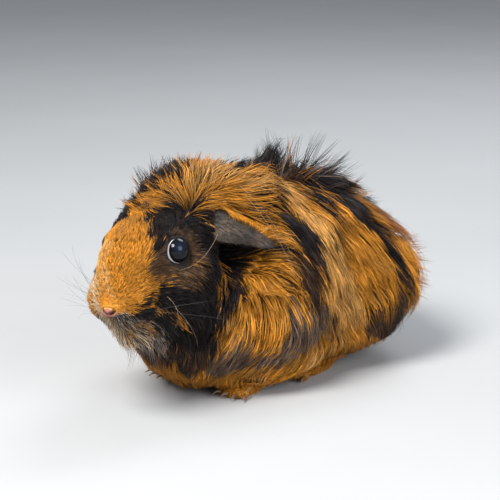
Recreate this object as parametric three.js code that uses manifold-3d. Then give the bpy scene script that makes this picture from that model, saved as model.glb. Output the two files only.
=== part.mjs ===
// A rough-coated guinea pig of the Abyssinian kind, crouching with its head turned to its left: a still, life-size
// model. Millimetres, +Z up, standing on z = 0, the trunk along Y with the head towards -Y.
// The solids reach out to the tips of the coat. The whole body is one smooth form round named masses, and thin
// cuts part it into head, neck, trunk, shoulders and haunches. Ears, eyes, nose, feet and claws are made apart.
import * as THREE from "three";
import { mergeVertices } from "three/addons/utils/BufferGeometryUtils.js";
import Module from "manifold-3d";

const wasm = await Module();
wasm.setup();

// ---- Driving dimensions, in millimetres and degrees ----

const GAP = 0.35; // left between neighbouring solids
const EAR_GAP = 0.55; // the same round the thin ears
const HEAD = { at: [0.2, -48.5, 65], yaw: 17, pitch: 5, roll: -1 }; // middle of the skull; yaw to its left, nose down
const EYE = { at: [13.6, -22.5, 5.5], radius: 5.3 }; // centre of the left eyeball, in the head's frame
const NOSE = { at: [0, -53.5, -10.5], size: [4.4, 3, 3.1] };
const NOSTRIL = { at: [2, -56.2, -10], size: [1.5, 1.6, 0.55], slant: 28 };
const EAR = {
  root: [12.5, 1.5, 13], // where the left ear starts, in the head's frame
  tip: [40, 12.5, -3],
  facing: [0.5, -0.45, 0.74], // the way its outer side looks
  width: 20,
  thickness: 1.6,
  cup: 3.4, // how far its middle stands out from its rim
  taper: 0.3, // how much narrower it grows from root to tip
};
const RIGHT_EAR = { ...EAR, tip: [31, 23, -7], facing: [0.72, -0.35, 0.6] }; // laid further back; given as if on the left
const FORE_FOOT = {
  at: [19, -24, 0],
  turn: 8,
  palm: [6, 7.5, 5],
  toes: 4,
  fan: 18, // degrees between neighbouring toes
  toe: { length: 6, radius: 1.9 },
};
const HIND_FOOT = {
  at: [21, 18, 0],
  turn: 12,
  palm: [6.5, 16, 6],
  toes: 3,
  fan: 16,
  toe: { length: 7.5, radius: 2.2 },
};
const TOE_SLOPE = 6; // degrees down towards the claws
const CLAW = { length: 5, radius: 1, root: 1.7, bend: 0.035 }; // root is how much of it lies in the toe

// Masses of the body: centre, half sizes, and how softly each melts into the rest.
const TRUNK_MASSES = {
  chest: { at: [1, -36, 34], size: [32, 29, 32], melt: 12 },
  withers: { at: [0, -12, 60], size: [26, 36, 34], melt: 12 },
  ribs: { at: [0, 24, 45], size: [47, 42, 40], melt: 14 },
  rump: { at: [0, 46, 37], size: [43, 43, 32], melt: 14 },
  saddleCrest: { at: [0, 28, 80], size: [14, 23, 15], melt: 12 },
  skirt: { at: [0, 4, 13], size: [36, 46, 14], melt: 10 },
};
const PAIRED_TRUNK_MASSES = {
  haunch: { at: [25, 42, 33], size: [23, 29, 25], melt: 12 },
  shoulder: { at: [24, -16, 36], size: [21, 24, 31], melt: 12 },
};
const HEAD_MASSES = {
  cranium: { at: [0, 0, 3], size: [22, 25, 22], melt: 8 },
  bridge: { at: [0, -26, 4], size: [13, 27, 15], melt: 6 },
  muzzle: { at: [0, -39, -8], size: [13, 15, 13.5], melt: 5 },
  chin: { at: [0, -30, -22], size: [11, 17, 9], melt: 5 },
  nape: { at: [-1, 18, 17], size: [20, 22, 14], melt: 8 },
};
const PAIRED_HEAD_MASSES = {
  whiskerPad: { at: [6.5, -43, -9.5], size: [8.5, 9.5, 9], melt: 4 },
  cheek: { at: [12.5, -12, -13], size: [15.5, 22, 18], melt: 6 },
  brow: { at: [9.5, -22, 10], size: [6.5, 11, 6], melt: 4 },
};
const HOLLOWS = { ear: { at: [29, 7, -5], size: [12, 12, 9], melt: 5 } }; // under each ear, taken away

// Ellipsoids that part the body: the head, the neck as a shell round it, and the upper legs.
const HEAD_REGION = { at: [0, -22, 4], size: [60, 42, 38] }; // in the head's frame
const NECK_REGION = { at: [0, -8, -2], size: [74, 52, 50] }; // in the head's frame
const SHOULDER_REGION = { at: [30, -20, 20], size: [21, 20, 26] };
const HAUNCH_REGION = { at: [33, 36, 22], size: [24, 33, 27] };

// The line that the body's rings are threaded on, nose end first.
const SPINE = { muzzle: [0, -38, -7], skull: [0, -8, 0], withers: [0, -10, 50], rump: [0, 54, 38] };
const RINGS = 20;
const AROUND = 24;
const CAP_RINGS = 4;
const FINENESS = 0.2; // details smaller than this are left out of the finished solids
const REACH = 130; // further from the spine than any point of the coat

// ---- Materials ----

const finish = (color, roughness) => new THREE.MeshStandardMaterial({ color, roughness, metalness: 0 });
const orangeCoat = finish("#c8781f", 0.85);
const darkCoat = finish("#2a211d", 0.85);
const mixedCoat = finish("#8a5522", 0.85);
const earSkin = finish("#4a4341", 0.7);
const noseSkin = finish("#c08579", 0.55);
const eyeball = finish("#0c0b0d", 0.08);
const horn = finish("#5a4638", 0.45);

// ---- Frames and the field of masses ----

const turned = (x, y, z, order) =>
  new THREE.Quaternion().setFromEuler(new THREE.Euler(...[x, y, z].map(THREE.MathUtils.degToRad), order));
const frameAt = (at, turn) =>
  new THREE.Matrix4().compose(new THREE.Vector3(...at), turn, new THREE.Vector3(1, 1, 1));
const bodyFrame = new THREE.Matrix4();
const headFrame = frameAt(HEAD.at, turned(HEAD.pitch, HEAD.roll, HEAD.yaw, "ZXY"));

const onSide = ([x, y, z], side) => [x * side, y, z];

// The masses, with the inverse of their frame, in which a point of the body is read.
function massesIn(frame, single, paired) {
  const toFrame = frame.clone().invert();
  const pairs = Object.values(paired).flatMap((m) => [m, { ...m, at: onSide(m.at, -1) }]);
  return [...Object.values(single), ...pairs].map((m) => ({ ...m, toFrame }));
}

const masses = [
  ...massesIn(bodyFrame, TRUNK_MASSES, PAIRED_TRUNK_MASSES),
  ...massesIn(headFrame, HEAD_MASSES, PAIRED_HEAD_MASSES),
];
const hollows = massesIn(headFrame, {}, HOLLOWS);

const local = new THREE.Vector3();

// Rough distance from a point to an ellipsoid, negative inside.
function distanceTo(mass, point) {
  local.copy(point).applyMatrix4(mass.toFrame);
  const [x, y, z] = [local.x - mass.at[0], local.y - mass.at[1], local.z - mass.at[2]];
  const [a, b, c] = mass.size;
  const k0 = Math.hypot(x / a, y / b, z / c);
  const k1 = Math.hypot(x / a ** 2, y / b ** 2, z / c ** 2);
  return k1 === 0 ? -Math.min(a, b, c) : (k0 * (k0 - 1)) / k1;
}

// Least of two distances, rounded where they are nearly equal.
function meltTogether(d1, d2, melt) {
  const h = Math.max(melt - Math.abs(d1 - d2), 0) / melt;
  return Math.min(d1, d2) - (h * h * melt) / 4;
}

function bodyDistance(point) {
  const full = masses.reduce((d, mass) => meltTogether(d, distanceTo(mass, point), mass.melt), REACH);
  return hollows.reduce((d, hollow) => -meltTogether(-d, distanceTo(hollow, point), hollow.melt), full);
}

// ---- Solids ----

function solidOf(geometry) {
  const bare = geometry.clone();
  bare.deleteAttribute("normal");
  bare.deleteAttribute("uv");
  const merged = mergeVertices(bare, 1e-4);
  return new wasm.Manifold(
    new wasm.Mesh({
      numProp: 3,
      vertProperties: merged.attributes.position.array,
      triVerts: new Uint32Array(merged.index.array),
    }),
  );
}

// Moves every vertex of a geometry by a function that is given the vertex and its normal.
function reshape(geometry, move) {
  const position = geometry.getAttribute("position");
  const normal = geometry.getAttribute("normal");
  const vertex = new THREE.Vector3();
  const direction = new THREE.Vector3();
  for (let i = 0; i < position.count; i++) {
    vertex.fromBufferAttribute(position, i);
    direction.fromBufferAttribute(normal, i);
    move(vertex, direction);
    position.setXYZ(i, vertex.x, vertex.y, vertex.z);
  }
  return geometry;
}

function ellipsoid(at, size, frame = bodyFrame, around = 14, down = 8) {
  const geometry = new THREE.SphereGeometry(1, around, down);
  geometry.scale(...size);
  geometry.translate(...at);
  return solidOf(geometry.applyMatrix4(frame));
}

const grown = (size) => size.map((s) => s + GAP);
const sumOf = (solids) => solids.reduce((whole, next) => whole.add(next));

function block(size, at) {
  const geometry = new THREE.BoxGeometry(...size);
  geometry.translate(...at);
  return solidOf(geometry);
}

// How far along a ray the body's surface lies: the outermost crossing, narrowed down by halving.
function reachAlong(base, ray) {
  const probe = new THREE.Vector3();
  const at = (t) => bodyDistance(probe.copy(base).addScaledVector(ray, t));
  const step = 2;
  let outside = REACH;
  while (outside > step && at(outside - step) > 0) outside -= step;
  let inside = Math.max(outside - step, 0);
  for (let i = 0; i < 14; i++) {
    const middle = (inside + outside) / 2;
    if (at(middle) > 0) outside = middle;
    else inside = middle;
  }
  return inside;
}

// A capsule is wrapped over the masses: each of its vertices slides out from the spine to the coat's surface.
function coatedBody() {
  const ofHead = (at) => new THREE.Vector3(...at).applyMatrix4(headFrame);
  const spine = new THREE.CatmullRomCurve3([
    ofHead(SPINE.muzzle),
    ofHead(SPINE.skull),
    new THREE.Vector3(...SPINE.withers),
    new THREE.Vector3(...SPINE.rump),
  ]);
  const up = new THREE.Vector3(0, 0, 1);
  const capsule = new THREE.CapsuleGeometry(1, 1, CAP_RINGS, AROUND, RINGS);
  return solidOf(
    reshape(capsule, (vertex, direction) => {
      const share = THREE.MathUtils.clamp(0.5 - vertex.y, 0, 1);
      const base = spine.getPointAt(share);
      const tangent = spine.getTangentAt(share);
      const side = new THREE.Vector3().crossVectors(up, tangent).normalize();
      const top = new THREE.Vector3().crossVectors(tangent, side);
      const ray = new THREE.Vector3()
        .addScaledVector(side, direction.x)
        .addScaledVector(top, direction.z)
        .addScaledVector(tangent, -direction.y)
        .normalize();
      vertex.copy(base).addScaledVector(ray, reachAlong(base, ray));
    }),
  );
}

const ABOVE_FLOOR = block([600, 600, 400], [0, 0, 200]);

const footFrame = (foot, side) => frameAt(onSide(foot.at, side), turned(0, 0, foot.turn * side, "XYZ"));

// A toe's frame in its foot's: its origin near the front of the palm and its Y axis along the toe, a little down.
function toeFrame({ palm, toe, toes, fan }, index) {
  const swing = (index - (toes - 1) / 2) * fan;
  const out = THREE.MathUtils.degToRad(swing);
  const at = [Math.sin(out) * palm[0], -palm[1] * 0.72 * Math.cos(out), toe.radius + 0.9];
  return frameAt(at, turned(-TOE_SLOPE, 0, 180 + swing, "ZXY"));
}

// The paw of a foot, toes towards -Y in the foot's frame: a palm or sole with toes that fan out from its front.
function pawOf(foot, side, spare = 0) {
  const frame = footFrame(foot, side);
  const { palm, toe } = foot;
  const toes = Array.from({ length: foot.toes }, (_, i) => {
    const geometry = new THREE.CapsuleGeometry(toe.radius + spare, toe.length, 1, 6);
    geometry.translate(0, toe.length / 2, 0);
    return solidOf(geometry.applyMatrix4(frame.clone().multiply(toeFrame(foot, i))));
  });
  return sumOf([ellipsoid([0, 0, palm[2] * 0.6], palm.map((s) => s + spare), frame, 10, 6), ...toes]);
}

// The claws of a foot: cones that bend down towards their points.
function clawsOf(foot, side, spare = 0) {
  const frame = footFrame(foot, side);
  return Array.from({ length: foot.toes }, (_, i) => {
    const cone = new THREE.ConeGeometry(CLAW.radius + spare, CLAW.length + spare * 2, 5, 2);
    cone.translate(0, CLAW.length / 2 - CLAW.root, 0);
    reshape(cone, (vertex) => (vertex.z -= CLAW.bend * vertex.y * Math.abs(vertex.y)));
    cone.translate(0, foot.toe.length + foot.toe.radius, 0);
    return solidOf(cone.applyMatrix4(frame.clone().multiply(toeFrame(foot, i)))).intersect(ABOVE_FLOOR);
  });
}

// The left ear in the head's frame: a flattened sphere drawn out into a petal, cupped, its narrow end the tip.
function earGeometry(ear, spare = 0) {
  const root = new THREE.Vector3(...ear.root);
  const tip = new THREE.Vector3(...ear.tip);
  const along = tip.clone().sub(root).normalize();
  const facing = new THREE.Vector3(...ear.facing);
  facing.addScaledVector(along, -facing.dot(along)).normalize();
  const across = new THREE.Vector3().crossVectors(facing, along);
  const half = root.distanceTo(tip) / 2 + spare;
  const middle = root.clone().add(tip).multiplyScalar(0.5);
  return reshape(new THREE.SphereGeometry(1, 20, 8), (vertex) => {
    const { x: length, y: depth, z: breadth } = vertex;
    const width = (ear.width / 2 + spare) * breadth * (1 - ear.taper * length);
    const bulge = ear.cup * (1 - breadth ** 2 - 0.4 * length ** 2);
    vertex
      .copy(middle)
      .addScaledVector(along, half * length)
      .addScaledVector(across, -width)
      .addScaledVector(facing, bulge + (ear.thickness / 2 + spare) * depth);
  });
}

// The head's frame, or its mirror image for what sits on the right.
const sideFrame = (sign) => headFrame.clone().scale(new THREE.Vector3(sign, 1, 1));

// A mirrored geometry has its faces turned inwards: this turns them back.
function inwardFacesTurned(geometry) {
  const index = geometry.getIndex();
  for (let i = 0; i < index.count; i += 3) {
    const first = index.getX(i);
    index.setX(i, index.getX(i + 1));
    index.setX(i + 1, first);
  }
  return geometry;
}

// ---- The body and its parts ----

const SIDES = { left: 1, right: -1 };
const wholeBody = coatedBody().simplify(FINENESS).intersect(ABOVE_FLOOR);

const region = ({ at, size }, frame, spare = 0) => ellipsoid(at, size.map((s) => s + spare), frame, 16, 10);
let head = wholeBody.intersect(region(HEAD_REGION, headFrame));
let neck = wholeBody.intersect(region(NECK_REGION, headFrame)).subtract(region(HEAD_REGION, headFrame, GAP));
let trunk = wholeBody.subtract(region(NECK_REGION, headFrame, GAP));

const group = new THREE.Group();
const headGroup = new THREE.Group();
headGroup.applyMatrix4(headFrame);
group.add(headGroup);

// Adds a solid, which is in the body's frame, as a named mesh of a group. Chips and bubbles that the cuts leave
// are shells of their own once the mesh is read back, and only the largest shell is kept.
function place(name, solid, look, parent = group) {
  const pieces = new wasm.Manifold(solid.simplify(FINENESS).getMesh()).decompose();
  const made = pieces.reduce((a, b) => (b.volume() > a.volume() ? b : a)).getMesh();
  const vertices = new Float32Array(made.numVert * 3);
  for (let i = 0; i < made.numVert; i++)
    vertices.set(made.vertProperties.subarray(i * made.numProp, i * made.numProp + 3), i * 3);
  const geometry = new THREE.BufferGeometry()
    .setAttribute("position", new THREE.BufferAttribute(vertices, 3))
    .setIndex(new THREE.BufferAttribute(made.triVerts, 1));
  parent.updateMatrixWorld(true);
  geometry.applyMatrix4(parent.matrixWorld.clone().invert());
  geometry.computeVertexNormals();
  const mesh = new THREE.Mesh(geometry, look);
  mesh.name = name;
  parent.add(mesh);
}

for (const [side, sign] of Object.entries(SIDES)) {
  const eyeAt = onSide(EYE.at, sign);
  const eyeSize = [EYE.radius, EYE.radius, EYE.radius];
  place(`eye_${side}`, ellipsoid(eyeAt, eyeSize, headFrame), eyeball, headGroup);
  head = head.subtract(ellipsoid(eyeAt, grown(eyeSize), headFrame));

  const earOf = (spare) => {
    const petal = earGeometry(sign > 0 ? EAR : RIGHT_EAR, spare).applyMatrix4(sideFrame(sign));
    return solidOf(sign > 0 ? petal : inwardFacesTurned(petal));
  };
  place(`ear_${side}`, earOf(0), earSkin, headGroup);
  head = head.subtract(earOf(EAR_GAP));
  neck = neck.subtract(earOf(EAR_GAP));

  for (const [leg, foot, { at, size }] of [
    ["foreleg", FORE_FOOT, SHOULDER_REGION],
    ["hindleg", HIND_FOOT, HAUNCH_REGION],
  ]) {
    const upper = { at: onSide(at, sign), size };
    const clawsWithGap = sumOf(clawsOf(foot, sign, GAP));
    const footWithGap = pawOf(foot, sign, GAP).add(clawsWithGap);
    const whole = trunk.intersect(region(upper, bodyFrame)).add(pawOf(foot, sign)).subtract(clawsWithGap);
    place(`${leg}_${side}`, whole.intersect(ABOVE_FLOOR), mixedCoat);
    clawsOf(foot, sign).forEach((claw, i) => place(`claw_${leg}_${side}_${i + 1}`, claw, horn));
    trunk = trunk.subtract(region(upper, bodyFrame, GAP)).subtract(footWithGap);
    neck = neck.subtract(footWithGap);
    head = head.subtract(footWithGap);
  }
}

let nose = ellipsoid(NOSE.at, NOSE.size, headFrame, 12, 7);
head = head.subtract(ellipsoid(NOSE.at, grown(NOSE.size), headFrame, 12, 7));
for (const sign of Object.values(SIDES)) {
  const slant = frameAt(onSide(NOSTRIL.at, sign), turned(0, -NOSTRIL.slant * sign, 0, "XYZ"));
  nose = nose.subtract(ellipsoid([0, 0, 0], NOSTRIL.size, headFrame.clone().multiply(slant), 8, 4));
}
place("nose", nose, noseSkin, headGroup);
place("head", head, orangeCoat, headGroup);
place("neck", neck, darkCoat);
place("trunk", trunk, orangeCoat);

// The frame's origin is under the middle of the whole.
const bounds = new THREE.Box3().setFromObject(group, true);
const middle = bounds.getCenter(new THREE.Vector3());
group.position.set(-middle.x, -middle.y, -bounds.min.z);

export default group;
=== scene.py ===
# %% [markdown]
# # A rough-coated guinea pig
# This lesson dresses the solid model of an Abyssinian guinea pig with a skin, eyes, ears, a nose and a coat
# of modelled hair. The solids reach out to the tips of the coat, so the skin lies inside them and the hair
# fills the space between. Nothing is moved: every place is read from the solids, or given from the middle
# of the skull.

# %% Load the solids
import math

import bmesh
import bpy
import numpy as np
from mathutils import Matrix, Vector
from mathutils.bvhtree import BVHTree
from mathutils.kdtree import KDTree


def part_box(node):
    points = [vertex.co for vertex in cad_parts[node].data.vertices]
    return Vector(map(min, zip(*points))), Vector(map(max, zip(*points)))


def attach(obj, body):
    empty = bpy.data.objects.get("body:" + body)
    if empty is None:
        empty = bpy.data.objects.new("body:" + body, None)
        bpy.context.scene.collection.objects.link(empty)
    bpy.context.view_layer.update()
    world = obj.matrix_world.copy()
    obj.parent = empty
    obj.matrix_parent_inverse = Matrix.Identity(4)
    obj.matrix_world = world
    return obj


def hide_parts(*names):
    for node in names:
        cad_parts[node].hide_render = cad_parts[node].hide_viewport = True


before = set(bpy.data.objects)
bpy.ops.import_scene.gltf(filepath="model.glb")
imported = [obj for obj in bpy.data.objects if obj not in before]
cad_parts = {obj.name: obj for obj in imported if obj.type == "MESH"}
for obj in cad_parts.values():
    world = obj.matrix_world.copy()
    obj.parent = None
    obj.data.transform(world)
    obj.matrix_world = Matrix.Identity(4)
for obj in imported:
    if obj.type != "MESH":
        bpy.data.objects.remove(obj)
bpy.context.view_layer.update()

MM = 0.001
dice = np.random.default_rng(20)

# %% [markdown]
# ## Two ways to name a place
# The head is turned to the animal's left and a little down. A place on it is easiest to give in the head's
# own frame: x towards the left eye, y backwards and z up, in millimetres from the middle of the skull. The
# eyes and the nose of the solids fix that frame. Places on the trunk are given from the point of the floor
# under it.

# %% Frame of the head
NOSE_DROP = math.radians(27.3)  # the nose lies this far below straight ahead, seen from between the eyes
EYES_AHEAD, EYES_ABOVE = 22.5, 5.5  # where the line between the eyes lies from the middle of the skull


def middle_of(node):
    low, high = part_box(node)
    return (low + high) / 2


between_eyes = (middle_of("eye_left") + middle_of("eye_right")) / 2
head_x = (middle_of("eye_left") - middle_of("eye_right")).normalized()
to_nose = middle_of("nose") - between_eyes
to_nose = (to_nose - head_x * to_nose.dot(head_x)).normalized()
head_y = -(Matrix.Rotation(-NOSE_DROP, 3, head_x) @ to_nose)
head_z = head_x.cross(head_y)
HEAD_TURN = np.array([head_x, head_y, head_z]).T
SKULL = np.array(between_eyes / MM) + HEAD_TURN @ (0, EYES_AHEAD, -EYES_ABOVE)


def head(x, y, z):
    return SKULL + HEAD_TURN @ (x, y, z)


def body(x, y, z):
    return np.array((x, y, z), float)


def in_head(points):
    """Many places in the head's frame."""
    return (points - SKULL) @ HEAD_TURN


def out_of_head(points):
    return SKULL + points @ HEAD_TURN.T


print("skull at", SKULL.round(1), "mm")

# %% [markdown]
# ## Arithmetic on many points at once
# The coat has tens of thousands of hairs, so places, directions and colours are worked out for all of them
# together with NumPy. A path is a short list of places. A bell is the weight that every local effect here
# fades out by. A ripple is a sum of waves in chance directions, which does the work of a noise texture.

# %% Helpers for points
def unit(v):
    return v / np.maximum(np.linalg.norm(v, axis=-1, keepdims=True), 1e-9)


def smooth_step(low, high, value):
    t = np.clip((value - low) / (high - low), 0, 1)
    return t * t * (3 - 2 * t)


def distance_to(points, middle):
    return np.linalg.norm(points - middle, axis=-1)


def bell(distance, reach):
    """1 at no distance, about a third at the reach, and next to nothing at twice the reach."""
    return np.exp(-((distance / reach) ** 2))


def angle_from(directions, way):
    return np.arccos(np.clip(unit(directions) @ way, -1, 1))


def mix(first, second, share):
    """From the first colour, at a share of 0, to the second, at 1."""
    return first * (1 - share[:, None]) + second * share[:, None]


def path(place, *points):
    return np.array([place(*p) for p in points])


def both_sides(place, *points):
    """A path on the left side and its mirror image on the right."""
    return [path(place, *points), path(place, *[(-x, y, z) for x, y, z in points])]


def near(points, line):
    """Distance of each point from a path, and the way the path runs beside it."""
    best = np.full(len(points), 1e9)
    way = np.zeros_like(points)
    for a, b in zip(line[:-1], line[1:]):
        step = b - a
        share = np.clip(((points - a) @ step) / (step @ step), 0, 1)
        distance = np.linalg.norm(points - a - share[:, None] * step, axis=1)
        closer = distance < best
        best[closer] = distance[closer]
        way[closer] = unit(step)
    return best, way


def ripple(points, size, seed):
    """Smooth chance values between about -1 and 1, with humps of about this size in mm."""
    waves = np.random.default_rng(seed)
    total = np.zeros(len(points))
    for _ in range(7):
        wave = unit(waves.normal(size=3)) * (2 * math.pi / size) * waves.uniform(0.35, 0.8)
        total += np.sin(points @ wave + waves.uniform(0, 2 * math.pi))
    return total / 2.6


# %% [markdown]
# ## The lie of the coat
# On this breed the hair doesn't simply run from nose to tail: it fans out from rosettes, and stands in
# crests where two fans meet. The coat is combed here by three things: a general way backwards, rosettes
# that push hair away from their middle, and strokes of a brush along paths. Combing a particle system by
# hand would give the same lie, but lists like these can be read and changed.

# %% Rosettes
NOSE_TIP = head(0, -62, -8)
ROSETTES = [  # middle, reach, strength
    (head(14, -2, 23), 20, 3.5),
    (head(-16, 2, 22), 18, 3.0),
    (head(25, 10, -9), 15, 3.0),
    (head(-26, 9, -10), 15, 3.0),
    (body(2, 34, 94), 13, 2.0),
    (body(-34, 26, 66), 13, 2.5),
    (body(26, 78, 58), 14, 2.0),
    (body(-25, 76, 60), 14, 2.0),
    (head(13.6, -22.5, 5.5), 8, 1.6),
    (head(-13.6, -22.5, 5.5), 8, 1.6),
]

# %% Strokes of the brush
SAME_ON_BOTH = [  # strokes on the left that have a mirror image on the right: place, reach, strength, path
    (head, 8, 2, (3, -55, -5), (1, -54, 2), (4, -50, 11), (4, -41, 17)),
    (head, 8, 2, (6, -54, -5), (10, -49, 1), (10, -44, 9), (7, -39, 16)),
    (head, 7, 2, (9, -53, -6), (14, -45, -1), (15, -35, 0)),
    (head, 7, 2, (18, -17, 8), (20, -12, 9), (22, -6, 9)),
    (head, 7, 2, (20, -20, 3), (24, -18, 0), (27, -15, -4)),
    (head, 7, 2, (18, -27, 0), (21, -28, -4), (24, -28, -9)),
    (head, 6, 2, (15, -24, 14), (14, -20, 16), (14, -14, 18)),
    (head, 9, 2, (15, -47, -7), (17, -36, -13), (23, -29, -15)),
    (head, 9, 2, (15, -48, -11), (14, -33, -24), (12, -22, -38)),
    (head, 9, 2, (19, -32, -16), (22, -22, -27), (21, -17, -39)),
    (head, 8, 2.5, (3, -57, -12), (8, -48, -20), (14, -35, -35)),
    (head, 9, 3, (14, 2, 25), (13, 14, 28), (12, 28, 28)),
    (head, 9, 3, (16, 2, 24), (20, 18, 23), (25, 31, 20)),
    (head, 9, 3, (18, 2, 21), (24, 14, 15), (32, 22, 8), (39, 25, 2)),
    (head, 10, 4, (25, 11, -9), (34, 12, -8), (42, 11, -10), (48, 10, -17), (50, 9, -26)),
    (head, 9, 4, (25, 9, -10), (34, 7, -12), (40, 1, -19), (39, -4, -28), (33, -9, -37)),
    (head, 8, 3, (25, 7, -11), (29, -2, -17), (30, -11, -25), (25, -15, -35)),
    (head, 8, 2, (25, -3, -7), (29, -16, -13), (26, -17, -24)),
    (body, 9, 4, (36, 11, 66), (41, 9, 56), (45, 14, 45), (47, 23, 33)),
    (body, 9, 3, (39, 21, 67), (45, 22, 57), (48, 28, 47), (50, 36, 36)),
    (body, 9, 4, (41, 26, 66), (46, 35, 57), (49, 42, 46), (51, 46, 37)),
    (body, 9, 4, (45, 17, 54), (48, 25, 43), (49, 33, 33), (48, 38, 24)),
    (body, 9, 3, (47, 54, 50), (49, 56, 41), (49, 58, 30), (46, 62, 18)),
    (body, 9, 3, (51, 44, 37), (50, 44, 29), (46, 49, 19)),
    (body, 9, 3, (45, -17, 41), (44, -19, 31), (39, -25, 24), (28, -43, 20), (20, -44, 14)),
    (body, 8, 3, (44, 3, 40), (44, 1, 31), (45, -9, 25), (41, -22, 23), (33, -31, 18)),
    (body, 8, 3, (43, 18, 28), (40, 21, 18), (37, 15, 12), (39, 1, 10), (38, -9, 8)),
    (body, 8, 2, (45, 25, 28), (43, 27, 21), (39, 27, 12)),
    (body, 11, 3, (6, -62, 36), (7, -56, 22), (7, -46, 8)),
]
ON_ONE_SIDE = [  # strokes without a mirror image, in the same order of values
    (head, 9, 4, (12, -2, 25), (7, -3, 26), (3, -6, 26), (0, -12, 25)),
    (head, 9, 4, (13, 1, 26), (6, 7, 30), (-5, 13, 31)),
    (head, 8, 4, (12, -5, 24), (9, -10, 23.5), (6, -16, 22.5)),
    (head, 7, 4, (4, -36, 19), (2, -26, 20), (1, -18, 22)),
    (head, 6, 5, (22, 16, 16), (26, 9, 8)),
    (head, 6, 5, (29, 20, 9), (34, 13, 1)),
    (body, 9, 4, (16, 9, 87), (22, 4, 81), (27, 2, 74), (33, 2, 67), (39, 2, 60), (42, 3, 52)),
    (body, 7, 3, (24, -9, 76), (30, -5, 71), (36, -3, 64)),
    (body, 8, 4, (14, 14, 88), (21, 13, 82), (29, 12, 75), (36, 11, 66)),
    (body, 7, 3, (44, -1, 47), (44, 7, 39), (43, 21, 27)),
    (body, 8, 4, (6, 31, 94), (16, 28, 88), (25, 26, 80), (35, 22, 72)),
    (body, 9, 4, (12, 44, 89), (23, 42, 80), (34, 39, 73), (41, 43, 64)),
    (body, 9, 3, (18, 53, 79), (28, 56, 70), (39, 54, 62), (47, 53, 52)),
    (body, 12, 2, (-30, 5, 75), (-42, 12, 55), (-45, 16, 35)),
    (body, 12, 2, (-28, 40, 78), (-42, 50, 58), (-47, 56, 35)),
]
STROKES = [
    (line, reach, strength)
    for place, reach, strength, *points in SAME_ON_BOTH
    for line in both_sides(place, *points)
]
STROKES += [(path(place, *points), reach, strength) for place, reach, strength, *points in ON_ONE_SIDE]
print(len(ROSETTES), "rosettes,", len(STROKES), "strokes")

# %% Way and uprightness of the hair
STANDING = [  # middle, reach, how upright
    (head(14, -2, 23), 5, 0.3),
    (head(-8, -12, 23), 10, 0.75),
    (head(1, -14, 24), 6, 0.5),
    (head(-8, 0, 27), 12, 0.85),
    (head(-5, 16, 31), 11, 0.75),
    (head(-16, 2, 22), 7, 0.4),
    (head(25, 10, -9), 4, 0.3),
    (body(0, 22, 93), 11, 0.85),
    (body(2, 38, 93), 12, 0.9),
    (body(10, 52, 86), 10, 0.6),
    (body(0, 2, 93), 9, 0.6),
    (body(-34, 26, 66), 6, 0.5),
]


def combed(points):
    """The way the hair runs at each point, before it is laid along the skin."""
    on_body = smooth_step(-6, 18, in_head(points)[:, 1])  # on the head, hair fans out from the nose's tip
    backward = np.tile([0.0, 1.0, -0.15], (len(points), 1))
    backward[:, 0] = 0.004 * points[:, 0]
    down_the_sides = 1.2 * smooth_step(15, 45, np.abs(points[:, 0]))
    backward[:, 2] -= down_the_sides + 0.5 * smooth_step(40, 10, points[:, 2])
    way = mix(unit(points - NOSE_TIP), unit(backward), on_body)
    for middle, reach, strength in ROSETTES:
        pull = strength * bell(distance_to(points, middle), reach)
        way += pull[:, None] * unit(points - middle)
    for line, reach, strength in STROKES:
        distance, along = near(points, line)
        way += (strength * bell(distance, reach))[:, None] * along
    return way


def upright(points):
    """How much the hair stands up at each point, from 0 for lying to 1."""
    amounts = [amount * bell(distance_to(points, middle), reach) for middle, reach, amount in STANDING]
    return np.max(amounts, axis=0)


# %% [markdown]
# ## The measure of the coat
# Hair is shortest round the nose and longest on the back. A table gives, at a few named spots, how deep the
# coat is, how long, dense and wide its hairs are, and how strongly they gather into locks. Between the
# spots the values are blended. A second table names the tufts whose tips rise above the solids, such as the
# crest.

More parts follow.
